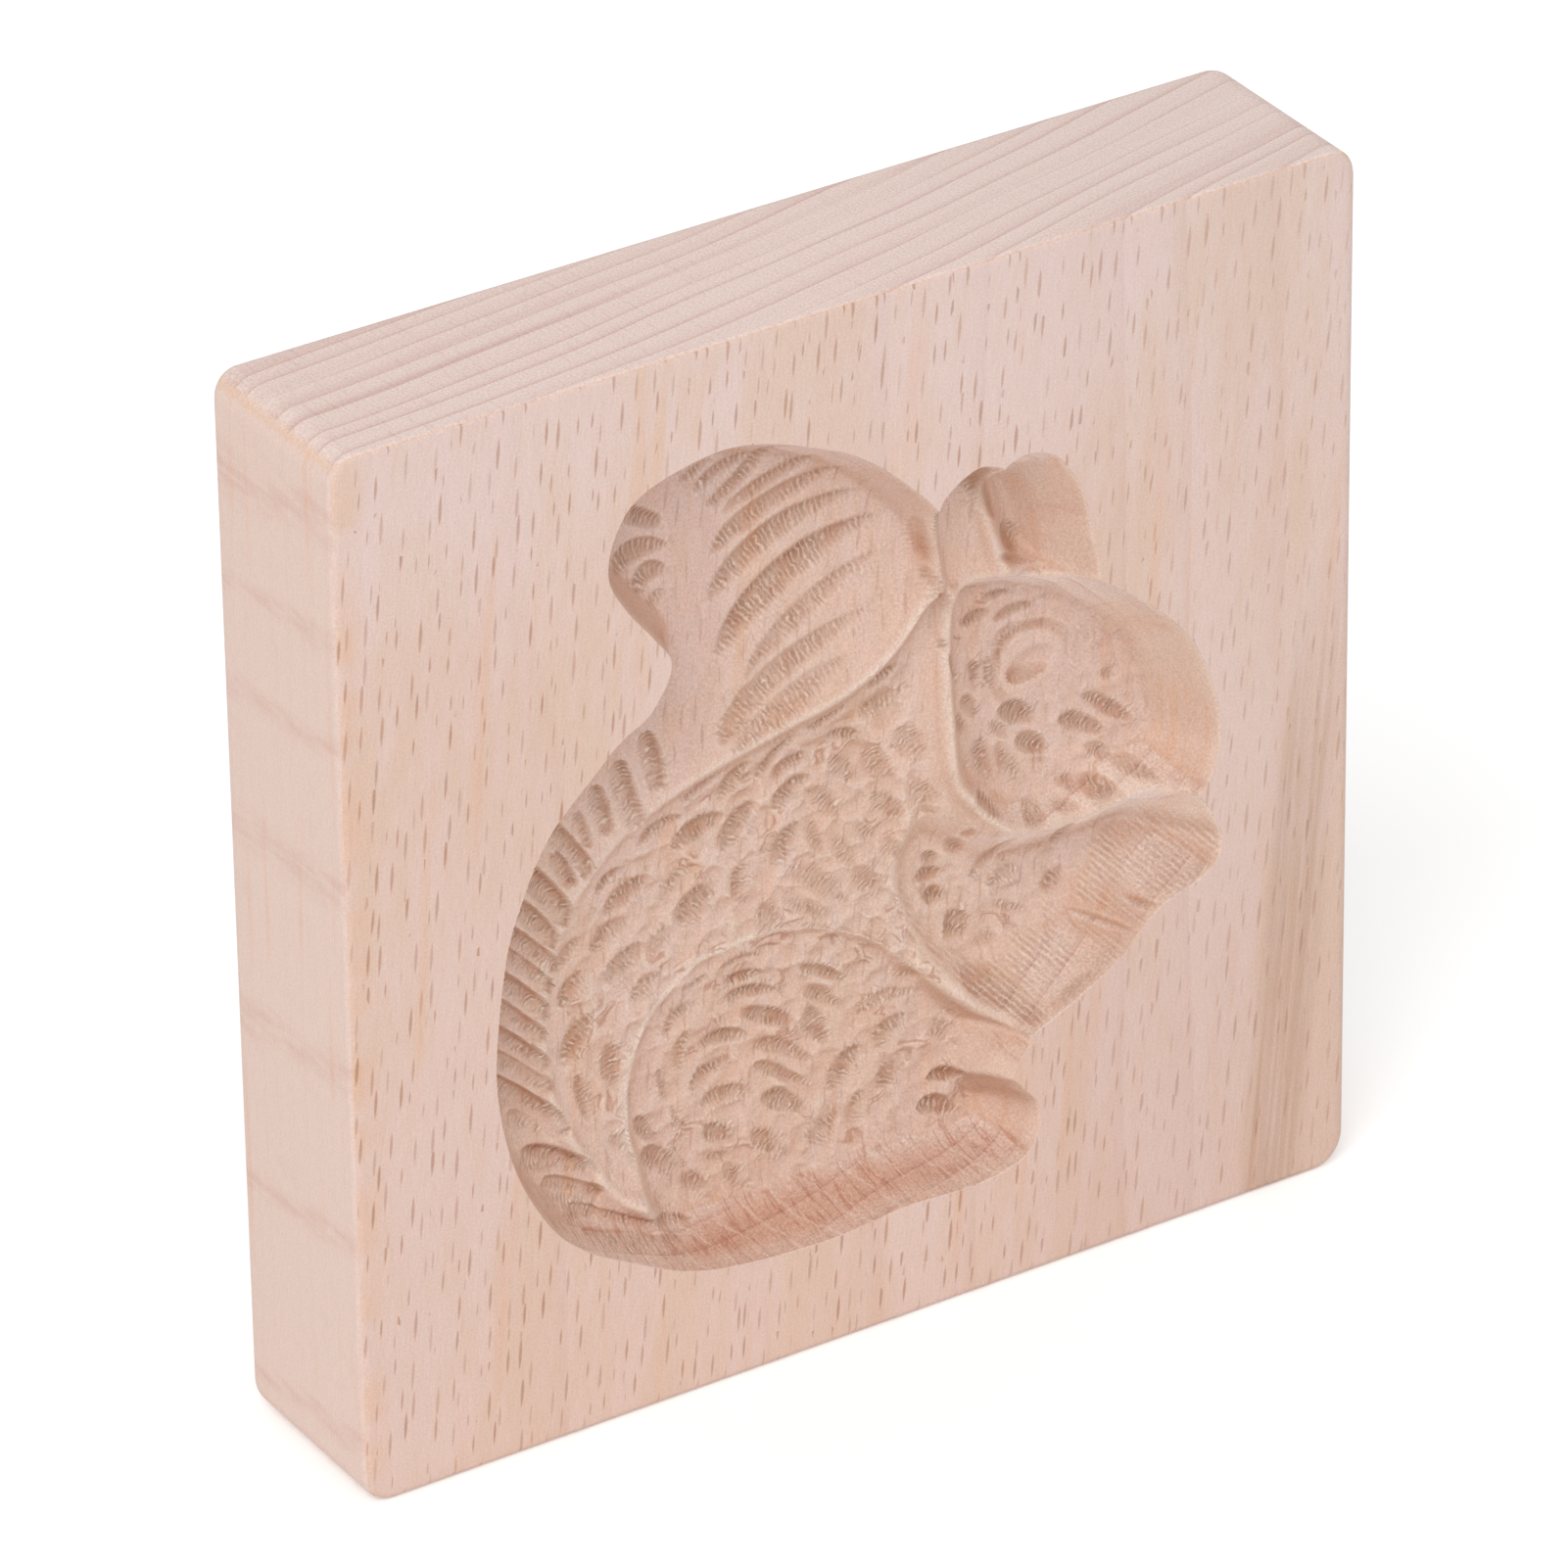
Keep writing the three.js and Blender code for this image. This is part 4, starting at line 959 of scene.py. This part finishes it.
class Beech(Paint):
    """Beech, with places in millimetres and along its grain."""

    def __init__(self):
        super().__init__(bpy.data.materials.new("beech"))
        coordinates = self.node("TexCoord").outputs
        place = self.node("VectorMath", coordinates["Object"], (1 / MM,) * 3, operation="MULTIPLY")
        self.x, self.y, self.z = self.parts(place.outputs[0])
        self.right, self.inward, self.up = self.parts(coordinates["Normal"])
        self.end_face = abs(self.up).ramp(0.6, 0.72)
        self.side_face = abs(self.right).ramp(0.6, 0.75)
        across, behind = self.x - PITH[0], PITH[1] - self.y
        self.radius = (across * across + behind * behind).math("SQRT")
        self.arc = across.math("ARCTAN2", behind) * PITH[1] - self.z * GRAIN_LEAN

    def everywhere(self, scale):
        """The place with this many units to a millimetre, all ways alike."""
        return self.point(self.x * scale, self.y * scale, self.z * scale)

    def patches(self, scale, low, high, detail=1.0):
        """1 in patches of noise with this many features to a millimetre, and 0 between them."""
        return self.noise(self.everywhere(scale), detail).ramp(low, high)

    def in_grain(self, around, outwards, upwards):
        """The place with this many units to a millimetre round the pith, outwards and up."""
        return self.point(self.arc * around, self.radius * outwards, self.z * upwards)

    def grain_noise(self, around, outwards, upwards, detail=2.0):
        return self.noise(self.in_grain(around, outwards, upwards), detail)

    def hollow(self):
        """1 on the carving and 0 on the board's outside."""
        share = self.y.ramp(FRONT + HOLLOW_FROM[0], FRONT + HOLLOW_FROM[1]) * self.y.math("LESS_THAN", 0.0)
        for off_middle in (abs(self.x - CARVED_MIDDLE[0]), abs(self.z - CARVED_MIDDLE[1])):
            share = share * off_middle.math("LESS_THAN", CARVED_REACH)
        return share

    def growth_rings(self):
        """Dark lines where each year's growth ended, some darker than others."""
        wavy = self.radius + self.grain_noise(0.035, 0.1, 0.01, 1.0) * RING_WAVER
        uneven = self.noise(self.point(wavy * 0.4, 3.0, 0.0)) * RING_UNEVENNESS
        ring = (wavy * (1 / RING_SPACING) + uneven).math("FRACT")
        line = (ring * ring * 0.5 + ring.math("POWER", 10.0) * 0.8) * ring.ramp(1.0, 0.93)
        weight = self.noise(self.point(wavy * 0.7, self.arc * 0.02, 0.0))
        return line * weight.ramp(0.2, 0.55)

    def rays(self):
        """Thin upright lenses of darker wood that reach inwards, dark where the face cuts them."""
        cells = self.in_grain(*(1 / size for size in RAY_CELL))
        voronoi = self.node("TexVoronoi", named={"Vector": cells, "Scale": 1.0, "Randomness": 0.95})
        offset = self.node("VectorMath", cells, voronoi.outputs["Position"], operation="SUBTRACT")
        off_arc, _, off_up = self.parts(offset.outputs[0])
        chance, size, darkness = self.parts(voronoi.outputs["Color"])
        up = off_up.math("DIVIDE", size * 0.28 + 0.2)
        half_width = (1 - up * up) * (size * 0.05 + 0.055)
        ray = (half_width - abs(off_arc)).ramp(-0.025, 0.055) * chance.ramp(0.02, 0.12)
        return ray * (darkness * 0.6 + 0.4)

    def smudges(self):
        """Soft pinkish bands that cross the sides, where the rays lie flat."""
        waver = self.noise(self.point(self.y * 0.12, self.z * 0.1, 5.0)) * 4.0
        height = self.z + (self.y * 0.12 + (waver - 2.0))
        total = 0.0
        for middle, reach in SMUDGES:
            total = abs(height - middle).ramp(reach, 0.0).math("MAXIMUM", total)
        patchy = self.noise(self.point(self.y * 0.25, self.z * 1.1, 2.0), 3.0)
        return total * patchy.ramp(0.25, 0.7)

    def band(self):
        """The browner band of rings low at the right, with threads along it."""
        leaning = self.radius - self.z * BAND_LEAN
        least, most = BAND_RADII
        thread = self.noise(self.point(leaning * 6.0, self.z * 0.03, 0.0)).ramp(0.3, 0.7)
        within = leaning.ramp(least - 0.2, least + 0.3) * leaning.ramp(most + 0.5, most - 0.3)
        return within * self.z.ramp(BAND_TOP + 14, BAND_TOP - 14) * (thread * 0.75 + 0.45)

    def outside(self):
        """The sanded faces."""
        x, z = self.x, self.z
        tone = self.grain_noise(0.08, 0.25, 0.018) + (self.grain_noise(0.6, 0.6, 0.12) - 0.5) * 0.7
        streak = self.grain_noise(0.45, 0.9, 0.02).ramp(0.55, 0.75)
        colour = self.tinted(
            self.mix(tone.ramp(0.3, 0.7), srgb(*PINK_WOOD), srgb(*TAN_WOOD)),
            (z.ramp(70.0, 95.0), HIGH_TINT),
            (z.ramp(60.0, 15.0), LOW_TINT),
            (z.ramp(50.0, 20.0) * x.ramp(5.0, 30.0), LOW_RIGHT_TINT),
        )
        colour = self.mix(self.side_face, colour, srgb(*SIDE_WOOD))
        return self.tinted(
            self.mix(self.end_face, colour, srgb(*END_WOOD)),
            (x.ramp(-5.0, 45.0), RIGHT_TINT),
            (streak * (1 - self.end_face * 0.8), STREAK_TINT),
            (self.band(), BAND_TINT),
            (self.smudges() * self.side_face, SMUDGE_TINT),
        )

    def edges(self, colour):
        """Orange wood along the front's left edge and round the top, and rays across the top."""
        on_front = self.inward.ramp(-0.5, -0.9)
        left_edge = self.x.ramp(LOW[0] + 3.4, LOW[0] + 0.8)
        patchy = self.noise(self.point(2.0, 6.0, self.z * 0.16), 2.0).ramp(0.35, 0.6)
        up = abs(self.up)
        crossing = self.noise(self.point(self.arc * 1.6, self.radius * 0.12, 7.0))
        crossing = abs(crossing - 0.5).ramp(0.03, 0.0) * self.end_face * self.x.ramp(60.0, -50.0)
        return self.tinted(
            colour,
            (on_front * left_edge * patchy, EDGE_TINT),
            (up.ramp(0.4, 0.6) * up.ramp(0.85, 0.7), EDGE_TINT),
            (crossing * END_LINE_SHARE, RING_TINT),
        )

    def combs(self):
        """The cutter's marks, from 0 between them to 1 on their crests."""
        crinkle = (self.noise(self.everywhere(1.8)) - 0.5) * self.field("crinkle")
        pass_share = ((self.field("comb") + crinkle) * (1 / PASS_WIDTH)).math("FRACT")
        off_middle = pass_share * 2.0 - 1.0
        return off_middle * off_middle

    def low_wall(self, colour):
        """Walls that face up: darker by the rim, as painted shade, and, below the haunch, in facets with dark
        lines and painted highlights along their borders.
        """
        faces_up = self.up.ramp(0.3, 0.7)
        low = faces_up * self.z.ramp(27.0, 22.0)
        waver = self.noise(self.everywhere(0.3)) * 2.4
        facets = (self.x + self.y * 0.5 + waver) * (1 / FACET_WIDTH)
        tone = self.noise(self.point(facets.math("FLOOR") * 3.7, 1.0, 0.0)).ramp(0.3, 0.7)
        # The rim of walls that face up is darkened as painted shade.
        colour = self.tinted(
            colour,
            (faces_up * self.z.ramp(14.2, 12.4) * self.x.ramp(26.0, 4.0), LOW_WALL_TINT),
            (faces_up * self.y.ramp(FRONT + 2.2, FRONT + 0.3), LOW_RIM_SHADE_TINT),
            (low * tone, FACET_TINT),
        )
        # Light lines along the facets' borders: painted highlights.
        border = abs(facets.math("FRACT") - 0.5).ramp(0.42, 0.5) * low * 0.3
        colour = self.mix(border, colour, srgb(*HIGHLIGHT_COLOUR))
        crossing = self.noise(self.point(self.arc * 1.1, self.y * 0.12, 4.0), 2.0)
        return self.tinted(colour, (abs(crossing - 0.5).ramp(0.035, 0.0) * low, LINE_TINT))

    def in_hollow(self, colour, combs):
        """Cut wood: darker where it faces down and in cuts, partly its end grain and partly painted shade,
        and in valleys as painted shade; lighter as painted light on its crests, its rim and the smooth walls
        at the right that face down.
        """
        x, y, z, up = self.x, self.y, self.z, self.up
        smooth, cut, from_ridge = (self.field(name) for name in ("smooth", "cut", "from_ridge"))
        by_head = x.ramp(12.0, 18.0) * z.ramp(38.0, 41.0) * 0.8
        smooth_right = smooth * x.ramp(12.0, 20.0)
        by_snout = z.ramp(48.0, 44.0) * z.ramp(37.0, 39.5) * x.ramp(22.0, 27.0)
        plume_left = x.ramp(-6.0, -14.0) * z.ramp(55.0, 62.0)
        low_right = x.ramp(-10.0, 2.0) * z.ramp(44.0, 36.0)
        arm_rim = y.ramp(FRONT + 6.5, FRONT + 3.2).math("MAXIMUM", x.ramp(26.0, 30.5))
        # Darker where it faces down, partly its end grain and partly painted shade, and lighter as painted
        # light on the smooth walls at the right that face down and by the snout.
        colour = self.tinted(
            colour,
            (1.0, HOLLOW_TINT),
            (up.ramp(-0.03, -0.45) * (1 - smooth) * (1 - by_head), DOWN_GRAIN_AND_SHADE_TINT),
            (up.ramp(-0.2, -0.6) * smooth_right, SMOOTH_DOWN_PAINTED_LIGHT),
            (up.ramp(0.0, -0.35) * smooth_right * z.ramp(69.0, 66.0), PAINTED_LIGHT_TINT),
            (by_snout, PAINTED_LIGHT_TINT),
            (plume_left, GREY_TINT),
            (low_right, LOW_PALE_TINT),
            (arm_rim * z.ramp(22.0, 25.0) * up.ramp(0.2, 0.5), ARM_RIM_TINT),
        )
        red = self.patches(0.4, 0.48, 0.62).math("MAXIMUM", z.ramp(77.0, 85.0))
        # Walls that face sideways and the cuts are darker partly by their grain and partly as painted shade,
        # and the valleys as painted shade.
        colour = self.tinted(
            self.low_wall(colour),
            (up.ramp(0.2, 0.8), UP_TINT),
            (abs(self.right).ramp(0.35, 0.8), ASIDE_GRAIN_AND_SHADE_TINT),
            (self.patches(0.22, 0.45, 0.7, 2.0), PATCH_TINT),
            (cut, CUT_GRAIN_AND_SHADE_TINT),
            (cut * red * 0.7, RED_CUT_TINT),
            (self.field("valley"), VALLEY_SHADE_TINT),
        )
        # Painted highlights on the crests and ridges.
        light = srgb(*HIGHLIGHT_COLOUR)
        colour = self.mix(self.field("crest"), colour, light)
        # Painted highlights along the scoops' ridges.
        some = self.patches(0.5, 0.42, 0.62)
        colour = self.mix(from_ridge.ramp(0.26, 0.06) * (some * 0.3 + 0.05), colour, light)
        some = self.patches(0.35, 0.55, 0.65) * x.ramp(24.0, 18.0)
        # Painted shade in the gaps between the cutter's marks and a painted highlight on their crests.
        marks = self.field("marks") * self.patches(1.1, 0.22, 0.6) * 1.15
        colour = self.tinted(
            colour,
            (abs(from_ridge - 0.36).ramp(0.16, 0.04) * some, HAIRLINE_TINT),
            (combs.ramp(0.4, 0.0) * marks, COMB_SHADE_TINT),
        )
        colour = self.mix(combs.ramp(0.35, 1.0) * marks * COMB_HIGHLIGHT, colour, light)
        # A painted highlight along the hollow's rim.
        rim = y.ramp(FRONT + 0.5, FRONT + 0.15) * up.ramp(0.3, 0.0)
        return self.mix(rim * RIM_HIGHLIGHT, colour, light)


def beech():
    wood = Beech()
    hollow, end, side = wood.hollow(), wood.end_face, wood.side_face
    rings = wood.growth_rings() * (end * (1 - RINGS_IN_FRONT) + RINGS_IN_FRONT)
    rings = rings * (1 - side * RINGS_ASIDE)
    rays = wood.rays()
    for place, weaker in zip((end, side, hollow, wood.x.ramp(5.0, 42.0)), RAYS_WEAKER):
        rays = rays * (1 - place * weaker)
    colour = wood.tinted(wood.outside(), (rings, RING_TINT), (rays, RAY_TINT))
    combs = wood.combs()
    colour = wood.mix(hollow, wood.edges(colour), wood.in_hollow(colour, combs))
    fibre = wood.grain_noise(7.0, 7.0, 0.6)
    speck = wood.noise(wood.everywhere(4.5), 2.0)
    grain = (fibre - 0.5) * FIBRE_SHARE + (speck - 0.5) * ((hollow + end) * MORE_SPECKS + SPECK_SHARE)
    height = fibre * FIBRE_RELIEF + combs * wood.field("marks") * hollow * COMB_RELIEF
    bump = wood.node("Bump", named={"Strength": 1.0, "Distance": MM, "Height": height})
    wood.surface({
        "Base Color": wood.scaled(colour, grain + 1.0),
        "Roughness": ROUGHNESS,
        "Specular IOR Level": SPECULAR,
        "Normal": bump.outputs[0],
    })
    return wood.owner


def camera():
    made = bpy.data.cameras.new("camera")
    made.lens = LENS
    made.sensor_width = SENSOR
    made.clip_start, made.clip_end = CAMERA_REACH
    stand = placed("camera", made)
    stand.location = Vector(CAMERA_PLACE) * MM
    stand.rotation_euler = Euler([math.radians(angle) for angle in CAMERA_TURN])
    bpy.context.scene.camera = stand


def floor():
    corners = [(-2, -2, 0), (2, -2, 0), (2, 2, 0), (-2, 2, 0)]
    made = new_object("floor", corners, [(0, 1, 2, 3)])
    paint = Paint(bpy.data.materials.new("floor"))
    seen = paint.node("LightPath").outputs["Is Camera Ray"]
    paint.surface({
        "Base Color": FLOOR_WHITE,
        "Emission Color": WHITE,
        "Emission Strength": paint.math("MULTIPLY", seen, FLOOR_LIFT),
    })
    made.data.materials.append(paint.owner)


def surroundings():
    """White all round, at full strength where it is seen and at the ambient light's elsewhere."""
    paint = Paint(bpy.data.worlds.new("studio"), "Background")
    seen = paint.node("LightPath").outputs["Is Camera Ray"]
    strength = paint.node("MapRange", seen, 0.0, 1.0, AMBIENT_LIGHT, 1.0)
    paint.surface({"Color": WHITE, "Strength": strength.outputs[0]})
    bpy.context.scene.world = paint.owner


def lights():
    for name, (way, strength, softness) in SOFT_LIGHTS.items():
        lamp = bpy.data.lights.new(name, "SUN")
        lamp.energy = strength
        lamp.angle = math.radians(softness)
        placed(name, lamp).rotation_euler = Vector(way).to_track_quat("Z", "Y").to_euler()


carved = mould_block()
carved.data.materials.append(beech())
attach(carved, "root")
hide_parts("mould_block")
camera()
floor()
surroundings()
lights()

bpy.context.scene.view_settings.view_transform = "Standard"
